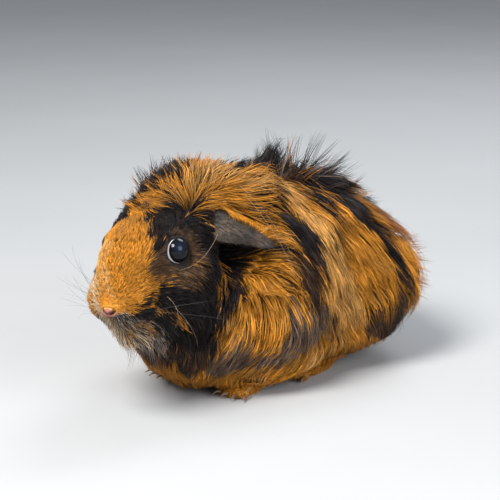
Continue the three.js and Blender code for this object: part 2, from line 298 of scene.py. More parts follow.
# %% Coat table
TUFTS = [  # middle, reach, how far the coat rises above the solids there
    (body(14, 56, 82), 13, 5.0),
    (body(2, 32, 96), 15, 7.0),
    (body(38, 68, 48), 15, 5.0),
    (body(46, 58, 30), 12, 3.0),
    (head(-7, -8, 24), 11, 3.0),
    (head(0, -36, -32), 10, 5.0),
    (head(2, -26, -44), 12, 6.0),
]
SPOTS = [  # place, x, y, z, reach, depth, length, hairs per mm2, width, locks
    (head, 0, -55, -9, 5, 0.7, 1.6, 4.0, 0.20, 0.0),
    (head, 0, -46, 4, 9, 1.1, 3.0, 3.6, 0.24, 0.1),
    (head, 0, -51, -19, 5, 1.6, 4.5, 3.4, 0.22, 0.2),
    (head, 4, -44, -27, 7, 3.5, 10, 2.6, 0.24, 0.4),
    (head, 10, -44, -10, 7, 1.3, 3.4, 3.6, 0.24, 0.1),
    (head, 0, -30, 17, 9, 1.8, 4.5, 3.4, 0.26, 0.15),
    (head, 14, -24, 6, 7, 1.1, 3.2, 3.6, 0.22, 0.1),
    (head, 8, -16, 20, 8, 2.6, 7.0, 3.0, 0.26, 0.3),
    (head, 0, -12, 22, 8, 3.6, 9.0, 2.6, 0.28, 0.4),
    (head, 15, -32, -12, 8, 2.4, 6.0, 3.2, 0.26, 0.3),
    (head, 20, -12, -8, 8, 3.0, 7.0, 2.8, 0.26, 0.3),
    (head, 22, -14, -22, 10, 5.0, 12, 2.0, 0.32, 0.5),
    (head, 10, -30, -28, 9, 4.5, 11, 2.2, 0.32, 0.5),
    (head, 14, 3, 22, 9, 5.0, 14, 1.9, 0.32, 0.5),
    (head, 0, 4, 26, 12, 7.0, 19, 1.6, 0.34, 0.6),
    (head, 20, 2, 8, 8, 3.0, 8, 2.2, 0.28, 0.3),
    (head, 26, 6, -12, 10, 5.0, 14, 2.0, 0.34, 0.55),
    (head, 20, 22, 18, 14, 9.0, 24, 1.4, 0.38, 0.6),
    (head, 38, 5, -30, 14, 9.0, 23, 1.4, 0.40, 0.7),
    (head, 0, 24, 30, 12, 9.0, 24, 1.3, 0.40, 0.6),
    (body, 0, 24, 92, 14, 14, 30, 1.3, 0.40, 0.6),
    (body, 0, 36, 94, 12, 14, 33, 2.6, 0.40, 0.5),
    (body, 24, 20, 80, 16, 11, 27, 1.3, 0.42, 0.7),
    (body, 44, 10, 52, 18, 10, 27, 1.3, 0.42, 0.75),
    (body, 44, 42, 50, 20, 10, 27, 1.3, 0.42, 0.7),
    (body, 0, 85, 50, 24, 10, 26, 1.1, 0.42, 0.7),
    (body, 40, 10, 18, 14, 8, 21, 1.4, 0.40, 0.75),
    (body, 42, 45, 20, 14, 8, 22, 1.3, 0.40, 0.75),
    (body, 24, -30, 12, 12, 6, 16, 1.6, 0.38, 0.6),
    (body, 0, -45, 14, 14, 6, 16, 1.3, 0.36, 0.6),
    (body, 0, 10, 0, 26, 3.5, 9, 0.3, 0.40, 0.4),
    (body, 0, 55, 0, 26, 3.5, 9, 0.3, 0.40, 0.4),
]
spots = [(place(x, y, z), *rest) for place, x, y, z, *rest in SPOTS]
spots += [(place(-x, y, z), *rest) for place, x, y, z, *rest in SPOTS if x]


def coat(points):
    """Depth, length, density, width and strength of locks at each point."""
    total = np.zeros(len(points))
    values = np.zeros((5, len(points)))
    for middle, reach, *measures in spots:
        weight = 1 / (0.05 + (distance_to(points, middle) / reach) ** 2) ** 2.5  # finite at the spot itself
        total += weight
        values += weight * np.array(measures)[:, None]
    return values / total


print(len(spots), "spots,", len(TUFTS), "tufts")

# %% [markdown]
# ## Markings
# The coat is tortoiseshell: orange broken by black, with brown, ash and cream where they mix. Each marking
# is a path with a width, laid over the ones before it, with a rippled edge. On the chin the grey is salt
# and pepper: single hairs there turn cream or black when they are dyed. The same function colours the skin
# and the hairs, so a gap in the coat shows the right colour. Painting by hand would need an image, which a
# path doesn't.

# %% Colours and markings
COLOURS = {
    "orange": (0.62, 0.250, 0.024),
    "gold": (0.70, 0.360, 0.100),
    "russet": (0.30, 0.105, 0.028),
    "black": (0.012, 0.010, 0.011),
    "brown": (0.060, 0.033, 0.022),
    "umber": (0.105, 0.060, 0.036),
    "ash": (0.125, 0.088, 0.070),
    "grey": (0.190, 0.160, 0.150),
    "cream": (0.68, 0.51, 0.34),
}
names = list(COLOURS)
palette = np.array(list(COLOURS.values()))
BLACK, GREY = names.index("black"), names.index("grey")

MARKS = [  # colour, half width, place, path
    ("gold", 6, body, (16, 14, 87), (31, 12, 72), (41, 10, 57), (44, 11, 49), (45, 17, 39), (45, 23, 29)),
    ("gold", 6, head, (8, 13, 30), (12, 28, 28), (21, 33, 24), (28, 36, 18)),
    ("russet", 7, body, (25, 64, 67), (36, 64, 60), (34, 76, 50), (37, 78, 42), (41, 73, 38), (46, 64, 34)),
    ("russet", 12, body, (-30, 78, 44), (-10, 86, 30)),
    ("brown", 7, body, (10, 66, 80), (18, 76, 66), (20, 84, 52), (22, 86, 40)),
    ("black", 10, body, (-24, 6, 80), (-8, 6, 91), (-8, 24, 92), (1, 40, 94), (2, 53, 90)),
    ("black", 13, body, (-6, 36, 92), (4, 52, 86), (12, 60, 76)),
    ("black", 13, body, (-16, 14, 88), (-14, 36, 88), (-8, 54, 82)),
    ("black", 11, body, (8, 38, 92), (15, 41, 88), (26, 39, 79), (34, 41, 73)),
    ("black", 6, body, (30, 44, 75), (38, 47, 66), (45, 49, 56)),
    ("black", 4, body, (45, 49, 56), (48, 52, 48), (50, 53, 41), (50, 53, 32)),
    ("umber", 4.5, body, (6, 20, 93), (18, 23, 86), (30, 22, 76)),
    ("umber", 4.5, body, (0, -2, 95), (3, 8, 93), (8, 15, 92), (12, 20, 90)),
    ("black", 4.5, body, (12, 26, 90), (25, 26, 80), (33, 24, 74)),
    ("black", 5.5, body, (-2, -6, 93), (-2, 4, 95), (0, 22, 94)),
    ("black", 1.8, body, (37, 19, 69), (40, 17, 63)),
    ("black", 10, body, (-10, 30, 90), (-30, 44, 74), (-42, 50, 56)),
    ("brown", 6.5, body, (50, 50, 33), (49, 46, 25), (45, 44, 18), (38, 66, 16)),
    ("brown", 5, body, (48, 36, 27), (44, 37, 16)),
    ("black", 4.5, body, (16, 9, 87), (22, 4, 81), (27, 2, 75)),
    ("black", 6, body, (27, 2, 75), (32, 3, 69), (38, 2, 61), (41, 2, 55)),
    ("black", 3, body, (24, -9, 76), (30, -5, 71)),
    ("brown", 6.5, body, (42, 0, 53), (44, -3, 47), (45, -3, 41), (43, 4, 32)),
    ("ash", 8.5, body, (42, 8, 28), (45, -10, 25), (40, -24, 22), (33, -35, 20), (26, -42, 16)),
    ("black", 6, body, (-22, 0, 82), (-36, 2, 66), (-44, 0, 44)),
    ("ash", 7, body, (-44, 0, 36), (-42, -14, 24)),
    ("black", 4.5, head, (9, -27, 18), (10, -20, 19), (13, -10, 20), (17, 0, 19)),
    (
        "black", 3.5, head,
        (4, -22, 20), (7, -15, 22.5), (9, -8, 24.5), (12, -4, 25), (15, 0, 23.5), (18, 4, 21),
    ),
    ("black", 2.5, head, (4, -22, 20.5), (8, -26, 19.5), (10, -29, 17)),
    ("black", 5, head, (10, -28, 17), (14, -29, 11), (16, -31, 3), (18, -31, -3)),
    ("black", 9, head, (15, -19, 14), (19, -10, 12), (22, -11, 8), (24, -13, 3), (26, -12, -3)),
    ("black", 8, head, (15, -28, 10), (20, -24, -2), (23, -22, -10), (20, -26, -20)),
    ("black", 6, head, (21, -4, 2), (22, 9, -3), (27, 12, -7), (34, 13, -7), (39, 15, -5)),
    ("black", 3, head, (14, -46, -17), (17, -40, -13), (20, -34, -7)),
    ("black", 9, head, (19, -32, -12), (25, -23, -12), (24, -20, -24), (20, -18, -36)),
    ("black", 6, head, (12, -47, -16), (16, -38, -20)),
    ("black", 9, head, (14, -33, -24), (12, -24, -36), (16, -18, -42)),
    ("black", 5, head, (24, 10, -9), (27, 3, -12), (29, -6, -17), (26, -14, -28), (23, -16, -37)),
    ("black", 8, head, (-14, -20, 16), (-17, -22, 8), (-18, -21, 2), (-18, -26, -8)),
    ("black", 7, head, (-12, -8, 19), (-20, -4, 13), (-26, 4, 4), (-34, 12, -4)),
    ("black", 10, head, (-18, -34, -24), (-24, -16, -20), (-26, -4, -28)),
    ("black", 7, head, (-11, -10, 22), (-9, -2, 26), (-6, 8, 30), (-6, 20, 32)),
    ("black", 2.2, head, (-8, -16, 22), (-2, -18, 23), (4, -21, 21), (8, -23, 20)),
    ("orange", 4.5, head, (10.5, -37, 2), (10.5, -41, -1), (9.5, -47, -1), (8.5, -51, -3)),
    ("black", 3.2, head, (19, -41, -7), (17, -46, -8.5), (15, -50, -11), (11, -53, -13)),
    ("black", 4, head, (15, -6, 20), (19, -3, 16), (21, 2, 13)),
    ("gold", 4.5, head, (-7, -44, 11), (-9, -50, 3), (-7, -54, -3)),
    ("gold", 2.5, head, (-3, -50, 6), (0, -54, -2), (3, -55, -6)),
    ("black", 3, head, (12, -3, 23), (17, 2, 22)),
    ("umber", 7, head, (15, -25, 11), (18, -19, 8), (20, -19, 2), (18, -26, -1), (15, -31, 4)),
    ("umber", 10, head, (-7, -46, -25), (-4, -34, -38), (4, -34, -36)),
    ("grey", 6.5, head, (5, -52, -16), (8, -46, -24), (12, -36, -32), (15, -27, -42)),
    ("grey", 5, head, (-3, -50, -19), (-4, -44, -27), (-2, -37, -34)),
    ("cream", 3.6, head, (-12, -49, 0), (-9, -53, -5), (-7, -54, -10), (-5, -53, -16)),
    ("cream", 2.8, head, (-6, -53, -12), (-4, -51, -19), (-4, -47, -24), (-2, -43, -28), (4, -41, -29)),
    ("brown", 10, body, (-16, -60, 28), (-8, -56, 19), (5, -54, 18), (17, -52, 17)),
    ("orange", 4, body, (0, -53, 11), (8, -51, 9), (16, -47, 8)),
    ("orange", 9, head, (36, 9, -12), (43, 7, -17), (45, 3, -28), (42, -1, -37)),
    ("orange", 10, head, (-30, 10, -14), (-42, 8, -22), (-44, 4, -38), (-34, 0, -52)),
    ("orange", 5, body, (43, 25, 18), (38, 24, 12), (35, 15, 7), (38, -7, 8)),
    ("orange", 5, body, (30, -22, 6), (23, -44, 8)),
    ("gold", 4, body, (45, 8, 42), (44, 16, 31), (42, 24, 21), (38, 20, 11), (36, 4, 8)),
    ("gold", 3.5, body, (30, -22, 6), (24, -42, 7)),
    ("black", 6.5, head, (9, -20, 21), (10, -24, 19), (12, -28, 16)),
    ("black", 4, head, (18, -33, -18), (18, -29, -24), (18, -25, -28)),
    ("black", 4.5, head, (13, -15, 19), (16, -10, 18), (20, -6, 13), (22, -4, 9)),
]
BRINDLE = [  # middle and reach of the places where the colours mix hair by hair
    (head(27, -10, -18), 9), (head(24, -12, -34), 9), (head(17, -22, 4), 12), (head(7, -44, -24), 8),
    (head(18, -30, -22), 9), (body(16, 22, 88), 8), (body(27, 24, 78), 8), (body(44, -4, 38), 9),
    (body(38, -26, 22), 8), (body(48, 48, 28), 9), (head(0, -12, 25), 5), (head(-13, -50, -4), 4),
    (body(7, 14, 92), 7),
]
marks = [
    (names.index(colour), half_width, path(place, *points)) for colour, half_width, place, *points in MARKS
]


def marked(points, lock_chance, hair_chance):
    """Colour of each point, and its number. The two chances, from 0 to 1, move the edges of the markings."""
    shade = np.zeros(len(points), int)
    blur = sum(bell(distance_to(points, middle), reach) for middle, reach in BRINDLE)
    sway = ripple(points, 14, 5) + (2 + 4 * blur) * (lock_chance - 0.5)
    sway += (1.4 + 4 * blur) * (hair_chance - 0.5)
    for number, half_width, line in marks:
        distance, _ = near(points, line)
        shade[distance + sway < half_width] = number
    return palette[shade], shade


print(len(names), "colours,", len(marks), "markings")

# %% [markdown]
# ## The skin
# The real skin is one piece from nose to rump. Copies of the solids of flesh are swollen a little, so that
# the thin cuts between them close, and the Remesh modifier melts them into one surface. That surface is
# then drawn in, step by step, by the depth of the coat, and smoothed as it goes. Narrow crests are pulled
# further, towards a line through the body. A metaball body or a sculpt would do the same by hand, but this
# way the skin always fits the solids.

# %% Copies and melting
MELT_SQUARE, SKIN_SQUARE, FOOT_SQUARE, EAR_SQUARE = 1.5, 1.0, 0.5, 0.55  # sides of the squares, in mm


def linked(name, data):
    made = bpy.data.objects.new(name, data)
    bpy.context.scene.collection.objects.link(made)
    return made


def object_of(name, bm, material=None):
    mesh = bpy.data.meshes.new(name)
    bm.to_mesh(mesh)
    bm.free()
    if material:
        mesh.materials.append(material)
    return linked(name, mesh)


def joined(shells):
    """One bmesh with copies of all these."""
    whole = bmesh.new()
    for shell in shells:
        scratch = bpy.data.meshes.new("scratch")
        shell.to_mesh(scratch)
        whole.from_mesh(scratch)
        bpy.data.meshes.remove(scratch)
    return whole


def copy_of(nodes, swell=0.0):
    """A bmesh with copies of the solids of these nodes, swollen by this many mm."""
    pieces = []
    for node in nodes:
        piece = bmesh.new()
        piece.from_mesh(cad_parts[node].data)
        bmesh.ops.remove_doubles(piece, verts=piece.verts, dist=0.02 * MM)
        piece.normal_update()
        for vertex in piece.verts:
            vertex.co += vertex.normal * swell * MM
        pieces.append(piece)
    return joined(pieces)


def finished(source):
    """The object with its modifiers worked out."""
    return source.evaluated_get(bpy.context.evaluated_depsgraph_get())


def remeshed(bm, square):
    """The bmesh melted into one closed skin of even squares, this many mm wide."""
    source = object_of("melting", bm)
    melt = source.modifiers.new("melt", "REMESH")
    melt.mode = "VOXEL"
    melt.voxel_size = square * MM
    result = bmesh.new()
    result.from_mesh(finished(source).to_mesh())
    bpy.data.objects.remove(source)
    return result


def largest_part(bm):
    """Removes every shell of the bmesh but the one with the most vertices."""
    bm.verts.ensure_lookup_table()
    unseen = set(bm.verts)
    shells = []
    while unseen:
        front = [unseen.pop()]
        shell = list(front)
        while front:
            vertex = front.pop()
            for edge in vertex.link_edges:
                other = edge.other_vert(vertex)
                if other in unseen:
                    unseen.remove(other)
                    shell.append(other)
                    front.append(other)
        shells.append(shell)
    shells.sort(key=len)
    bmesh.ops.delete(bm, geom=[v for shell in shells[:-1] for v in shell], context="VERTS")


# %% A surface as arrays
class Surface:
    """The points, faces and normals of a mesh as arrays, in mm."""

    def __init__(self, bm):
        bmesh.ops.triangulate(bm, faces=[f for f in bm.faces if len(f.verts) > 4])
        bm.verts.index_update()
        self.points = np.array([v.co for v in bm.verts]) / MM
        faces = [[v.index for v in f.verts] for f in bm.faces]
        self.faces = np.array([f if len(f) == 4 else f + f[-1:] for f in faces])
        self.edges = np.array([[v.index for v in e.verts] for e in bm.edges])
        self.degree = np.bincount(self.edges.ravel(), minlength=len(self.points))

    def face_normals(self):
        a, b, c, d = (self.points[self.faces[:, i]] for i in range(4))
        return np.cross(c - a, d - b) / 2

    def normals(self):
        total = np.zeros_like(self.points)
        by_face = self.face_normals()
        for axis in range(3):
            for corner in range(4):
                total[:, axis] += np.bincount(self.faces[:, corner], by_face[:, axis], len(self.points))
        return unit(total)

    def mean_of_neighbours(self, values):
        total = np.zeros_like(values)
        for axis in range(values.shape[1]):
            for here, there in ((0, 1), (1, 0)):
                total[:, axis] += np.bincount(
                    self.edges[:, here], values[self.edges[:, there], axis], len(values)
                )
        return total / self.degree[:, None]

    def soft_normals(self, times):
        normals = self.normals()
        for _ in range(times):
            normals = unit(normals + self.mean_of_neighbours(normals))
        return normals

    def spread(self, values, times):
        """A value for each point, blurred along the surface."""
        values = values[:, None]
        for _ in range(times):
            values = 0.5 * (values + self.mean_of_neighbours(values))
        return values[:, 0]

    def smooth(self, times, share=0.5):
        for _ in range(times):
            self.points += share * (self.mean_of_neighbours(self.points) - self.points)

    def into(self, bm):
        for vertex, point in zip(bm.verts, self.points * MM):
            vertex.co = point


# %% Melt the flesh and draw it in
FLESH = ["head", "neck", "trunk", "nose", "eye_left", "eye_right"]
LEGS = ["foreleg_left", "foreleg_right", "hindleg_left", "hindleg_right"]
CLOSING = 1.5  # how much the copies swell, in mm
INSET_STEPS, PULLS = 14, 20
ENOUGH = 0.85  # share of the coat's depth that every point has to reach
HEAD_CORE, TRUNK_CORE = (0.0, 0.0, -4.0), (0.0, 0.0, 45.0)  # both run on in y

melted = remeshed(copy_of(FLESH + LEGS, CLOSING), MELT_SQUARE)
largest_part(melted)
flesh = Surface(melted)
outline = BVHTree.FromPolygons(flesh.points.tolist(), flesh.faces.tolist())
inset = coat(flesh.points)[0] + CLOSING


def room_outside(points, normals, farthest, otherwise):
    """How far the outline is along each normal, or the other value where it isn't met."""
    hits = [outline.ray_cast(p, n, farthest)[3] for p, n in zip(points.tolist(), normals.tolist())]
    return np.array([other if hit is None else hit for hit, other in zip(hits, otherwise)])


for _ in range(INSET_STEPS):
    flesh.points -= flesh.normals() * (inset / INSET_STEPS)[:, None]
    flesh.smooth(1)
flesh.smooth(3)
head_core = np.tile(HEAD_CORE, (len(inset), 1))
head_core[:, 1] = np.clip(in_head(flesh.points)[:, 1], -35, 10)
trunk_core = np.tile(TRUNK_CORE, (len(inset), 1))
trunk_core[:, 1] = np.clip(flesh.points[:, 1], 0, 65)
core = np.where(in_head(flesh.points)[:, 1:2] < 10, out_of_head(head_core), trunk_core)
for _ in range(PULLS):
    depth_now = np.array([outline.find_nearest(p)[3] for p in flesh.points.tolist()])
    short = np.clip(ENOUGH * inset - depth_now, 0, 1.5)
    flesh.points += unit(core - flesh.points) * short[:, None]
    flesh.smooth(1)
for _ in range(2):  # where the skin now lies too deep, it comes out again
    normals = flesh.soft_normals(3)
    gap = np.clip(room_outside(flesh.points, normals, 30, inset) - inset, 0, 3)
    flesh.points += normals * flesh.spread(gap, 4)[:, None]
flesh.into(melted)
print("skin drawn in by", inset.min().round(1), "to", inset.max().round(1), "mm,", len(inset), "points")

# %% [markdown]
# ## Eye sockets
# A guinea pig's eye bulges, and its lids fit it like a stocking. A ball a little larger than the eye is
# added to each side of the skin, and the whole is melted once more, which fills the corner between ball and
# cheek. The part of the ball that the lids leave open is then pressed in behind the eyeball.

# %% Add sockets and melt again
EYE_RADIUS = (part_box("eye_left")[1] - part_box("eye_left")[0]).x / 2 / MM
LID = 0.7  # thickness of the lids
OPENING = math.radians(70)  # from the middle of the opening to its rim
FACE_BEGINS = -12  # the skin is finer in front of this y of the head's frame
ROUND_EYE = 9.5  # and finer again within this distance of an eye
EYES = {"left": 1, "right": -1}  # which way each side lies in x


def eye_middle(side):
    return np.array(middle_of(f"eye_{side}")) / MM


def eye_axis(side):
    """The way that the opening between the lids looks."""
    return unit(HEAD_TURN @ np.array((0.84 * EYES[side], -0.52, 0.15)))


def from_eye(points, side):
    """Distance from the middle of an eye, and angle from the middle of the opening between its lids."""
    middle = eye_middle(side)
    return distance_to(points, middle), angle_from(points - middle, eye_axis(side))


def refine(bm, inside):
    """Halves every edge with both its ends inside."""
    bm.verts.index_update()
    chosen = inside(np.array([v.co for v in bm.verts]) / MM)
    edges = [e for e in bm.edges if all(chosen[v.index] for v in e.verts)]
    bmesh.ops.subdivide_edges(bm, edges=edges, cuts=1, use_grid_fill=True)


for side in EYES:
    bmesh.ops.create_uvsphere(
        melted, u_segments=24, v_segments=16, radius=(EYE_RADIUS + LID) * MM,
        matrix=Matrix.Translation(Vector(eye_middle(side) * MM)),
    )
skin_bm = remeshed(melted, SKIN_SQUARE)
largest_part(skin_bm)
refine(skin_bm, lambda points: in_head(points)[:, 1] < FACE_BEGINS)
refine(skin_bm, lambda points: np.min([from_eye(points, side)[0] for side in EYES], axis=0) < ROUND_EYE)
skin = Surface(skin_bm)
skin.smooth(3)
for side in EYES:
    distance, angle = from_eye(skin.points, side)
    wanted = np.where(angle < OPENING + 0.02, EYE_RADIUS - 0.9, np.maximum(distance, EYE_RADIUS + LID * 0.8))
    pressed = eye_middle(side) + unit(skin.points - eye_middle(side)) * wanted[:, None]
    close = distance < EYE_RADIUS + LID + 2
    skin.points[close] = pressed[close]
print("skin has", len(skin.faces), "faces")

# %% [markdown]
# ## Mouth and chin
# The lip is split under the nose, and the mouth runs back from there. Both are grooves pressed into the
# skin, as a sculpting brush would do. The skin is also pushed back behind the nose pad, which takes its
# place.

# %% Press the mouth in
MOUTH = path(head, (-8, -46, -18), (-4, -52, -17), (0, -54.5, -15), (4, -52, -17), (8, -46, -18))
SPLIT = path(head, (0, -57, -11.5), (0, -55.5, -15))
for line, groove, width in ((MOUTH, 1.1, 1.2), (SPLIT, 0.8, 0.9)):  # depth and half width, in mm
    distance, _ = near(skin.points, line)
    skin.points -= skin.normals() * (groove * bell(distance, width))[:, None]

NOSE_MIDDLE = np.array(middle_of("nose")) / MM
PAD = (3.2, 1.6, 2.1)  # half width, depth and height of the nose pad


def from_pad(points):
    """How far behind the nose each point lies, and how far out across the pad, where 1 is its rim."""
    spot = in_head(points) - in_head(NOSE_MIDDLE[None])[0]
    return spot[:, 1], np.hypot(spot[:, 0] / PAD[0], spot[:, 2] / PAD[2])


behind, across_pad = from_pad(skin.points)
pushed = smooth_step(1.1, 0.7, across_pad) * (behind < 6) * np.clip(1.0 - behind, 0, 4)
skin.points += pushed[:, None] * HEAD_TURN[:, 1]
skin.into(skin_bm)
skin_bm.normal_update()

# %% [markdown]
# ## Feet
# The feet stay near the solids' own size, because their hair is only a millimetre or two long. They are cut
# from copies of the legs, melted finely enough to keep the toes apart, and joined to the skin.

# %% Cut the feet from the legs
FOOT_HEIGHT = 6.5
FOOT_REACH = {"foreleg": 18, "hindleg": 34}  # how far a foot goes back from its second claw


def foot_of(leg):
    bm = copy_of([leg], -0.25)
    cut = bmesh.ops.bisect_plane(
        bm, geom=bm.verts[:] + bm.edges[:] + bm.faces[:], dist=1e-6, plane_co=(0, 0, FOOT_HEIGHT * MM),
        plane_no=(0, 0, 1), clear_outer=True,
    )
    rim = [e for e in cut["geom_cut"] if isinstance(e, bmesh.types.BMEdge)]
    bmesh.ops.holes_fill(bm, edges=rim, sides=0)
    foot = remeshed(bm, FOOT_SQUARE)
    toes, reach = middle_of(f"claw_{leg}_2"), FOOT_REACH[leg.split("_")[0]]
    far = [v for v in foot.verts if (v.co - toes).length > reach * MM]
    bmesh.ops.delete(foot, geom=far, context="VERTS")
    largest_part(foot)
    rim = [e for e in foot.edges if e.is_boundary]
    if rim:
        bmesh.ops.holes_fill(foot, edges=rim, sides=0)
    shape = Surface(foot)
    shape.smooth(4)
    shape.into(foot)
    return foot


feet = joined([foot_of(leg) for leg in LEGS])
feet_shape = Surface(feet)
print("feet have", len(feet_shape.faces), "faces")

# %% [markdown]
# ## Ears
# The solid ears already have the drooping petal shape. Copies are melted into small even squares and
# smoothed. They are then made narrower, most of all along the front edge, and a fine ripple gives the rim
# its soft, uneven line.

# %% Smooth the ears
EAR_HEART = np.array((27.5, 6, 6.6))  # middle of the petal, and two ways over it, in the frame of the head
EAR_ALONG, EAR_ACROSS = unit(np.array((0.82, 0.32, -0.48))), unit(np.array((-0.02, 0.85, 0.53)))


def in_ear(points, side):
    """Places from the middle of the petal, as if the ear were the left one."""
    return in_head(points) * (EYES[side], 1, 1) - EAR_HEART


def out_of_ear(spot, side):
    return out_of_head((spot + EAR_HEART) * (EYES[side], 1, 1))


def ear_of(side):
    bm = remeshed(copy_of([f"ear_{side}"]), EAR_SQUARE)
    shape = Surface(bm)
    shape.smooth(5, 0.4)
    shape.points += shape.normals() * (0.18 * ripple(shape.points, 5, 31) + 0.10)[:, None]
    spot = in_ear(shape.points, side)
    along, across = spot @ EAR_ALONG, spot @ EAR_ACROSS
    hollowed = bell(along - 7, 6) * (across < 0)
    narrower = across * (0.66 - 0.2 * hollowed + 0.22 * smooth_step(4, -8, along) * (across < 0)) - 0.6
    shape.points = out_of_ear(spot + (narrower - across)[:, None] * EAR_ACROSS, side)
    shape.into(bm)
    return bm, shape


ears = {side: ear_of(side) for side in EYES}
print("ear faces:", [len(bm.faces) for bm, _ in ears.values()])

# %% [markdown]
# ## Materials
# Every finish is a small node tree. The markings reach hair and skin as a colour attribute, which the
# mottle group makes uneven: real hair of one colour still varies from lock to lock. Shaders stay in the
# materials, and the group only passes colours on.

# %% Node helpers and the mottle group
def new_material(name, roughness, **constants):
    material = bpy.data.materials.new(name)
    material.use_nodes = True
    shader = material.node_tree.nodes["Principled BSDF"]
    shader.inputs["Roughness"].default_value = roughness
    for socket, value in constants.items():
        shader.inputs[socket.replace("_", " ")].default_value = value
    return material, material.node_tree.nodes, material.node_tree.links, shader


def mottle_group():
    """Colour in, colour out: lighter and darker by a noise in the object's own millimetres."""
    group = bpy.data.node_groups.new("coat_mottle", "ShaderNodeTree")
    group.interface.new_socket("Color", in_out="INPUT", socket_type="NodeSocketColor")
    group.interface.new_socket("Size", in_out="INPUT", socket_type="NodeSocketFloat")
    group.interface.new_socket("Amount", in_out="INPUT", socket_type="NodeSocketFloat")
    group.interface.new_socket("Color", in_out="OUTPUT", socket_type="NodeSocketColor")
    nodes, links = group.nodes, group.links
    entry, leave = nodes.new("NodeGroupInput"), nodes.new("NodeGroupOutput")
    place = nodes.new("ShaderNodeTexCoord")
    noise = nodes.new("ShaderNodeTexNoise")
    noise.inputs["Detail"].default_value = 4
    spread = nodes.new("ShaderNodeMapRange")
    spread.inputs["From Min"].default_value = 0.3
    spread.inputs["From Max"].default_value = 0.7
    spread.inputs["To Min"].default_value = -1.0
    stronger = nodes.new("ShaderNodeMath")
    stronger.operation = "MULTIPLY_ADD"
    stronger.inputs[2].default_value = 1.0
    shade = nodes.new("ShaderNodeVectorMath")
    shade.operation = "SCALE"
    links.new(place.outputs["Object"], noise.inputs["Vector"])
    links.new(entry.outputs["Size"], noise.inputs["Scale"])
    links.new(noise.outputs["Fac"], spread.inputs["Value"])
    links.new(spread.outputs["Result"], stronger.inputs[0])
    links.new(entry.outputs["Amount"], stronger.inputs[1])
    links.new(entry.outputs["Color"], shade.inputs[0])
    links.new(stronger.outputs["Value"], shade.inputs["Scale"])
    links.new(shade.outputs["Vector"], leave.inputs["Color"])
    return group


MOTTLE = mottle_group()


def mottled(nodes, links, source, size, amount):
    """A mottle node with its own values, fed from this colour output."""
    node = nodes.new("ShaderNodeGroup")
    node.node_tree = MOTTLE
    node.inputs["Size"].default_value = size
    node.inputs["Amount"].default_value = amount
    links.new(source, node.inputs["Color"])
    return node.outputs["Color"]


def bumped(nodes, links, shader, size, depth, stretch=(1, 1, 1)):
    """Fine relief, this many mm deep, from a stretched noise in the object's own place."""
    place = nodes.new("ShaderNodeTexCoord")
    turn = nodes.new("ShaderNodeMapping")
    turn.inputs["Scale"].default_value = stretch
    noise = nodes.new("ShaderNodeTexNoise")
    noise.inputs["Scale"].default_value = size
    noise.inputs["Detail"].default_value = 5
    bump = nodes.new("ShaderNodeBump")
    bump.inputs["Strength"].default_value = 0.6
    bump.inputs["Distance"].default_value = depth * MM
    links.new(place.outputs["Object"], turn.inputs["Vector"])
    links.new(turn.outputs["Vector"], noise.inputs["Vector"])
    links.new(noise.outputs["Fac"], bump.inputs["Height"])
    links.new(bump.outputs["Normal"], shader.inputs["Normal"])


def painted(nodes):
    source = nodes.new("ShaderNodeAttribute")
    source.attribute_name = "coat_colour"
    return source.outputs["Color"]


# %% Hair, skin, ear, nose, eye and horn
def finish(name, roughness, mottle, relief=None, tint=None, **constants):
    """A material of one tint, or of the painted colour, mottled by size and amount; relief is optional."""
    material, nodes, links, shader = new_material(name, roughness, **constants)
    if tint:
        source = nodes.new("ShaderNodeRGB").outputs[0]
        source.default_value = tint
    else:
        source = painted(nodes)
    links.new(mottled(nodes, links, source, *mottle), shader.inputs["Base Color"])
    if relief:
        bumped(nodes, links, shader, *relief)
    return material


HAIR = finish("hair", 0.42, (90, 0.14), Specular_IOR_Level=0.15)
SKIN = finish("skin", 0.7, (240, 0.3), (1800, 0.5, (1, 0.25, 1)), Specular_IOR_Level=0.25)
EAR = finish("ear_leather", 0.6, (420, 0.35), (900, 0.35), Specular_IOR_Level=0.35)
NOSE = finish(
    "nose_leather", 0.55, (700, 0.15), (2200, 0.12),
    Specular_IOR_Level=0.2, Subsurface_Weight=0.15, Subsurface_Scale=0.8 * MM,
)
EYE = finish(
    "eyeball", 0.4, (500, 0.15), Specular_IOR_Level=0.0, Coat_Weight=1.0, Coat_IOR=1.3, Coat_Roughness=0.02
)
HORN = finish("claw_horn", 0.4, (600, 0.4), (1500, 0.08, (1, 0.2, 1)), (0.16, 0.10, 0.065, 1))


# %% Painting and reading back
def paint(made, colours):
    layer = made.data.color_attributes.new("coat_colour", "FLOAT_COLOR", "POINT")
    rgba = np.ones((len(colours), 4), np.float32)
    rgba[:, :3] = colours
    layer.data.foreach_set("color", rgba.ravel())


def vectors_of(made, kind):
    flat = np.zeros(len(made.data.vertices) * 3, np.float32)
    made.data.vertices.foreach_get(kind, flat)
    return flat.reshape(-1, 3).astype(float)


def points_of(made):
    return vectors_of(made, "co") / MM
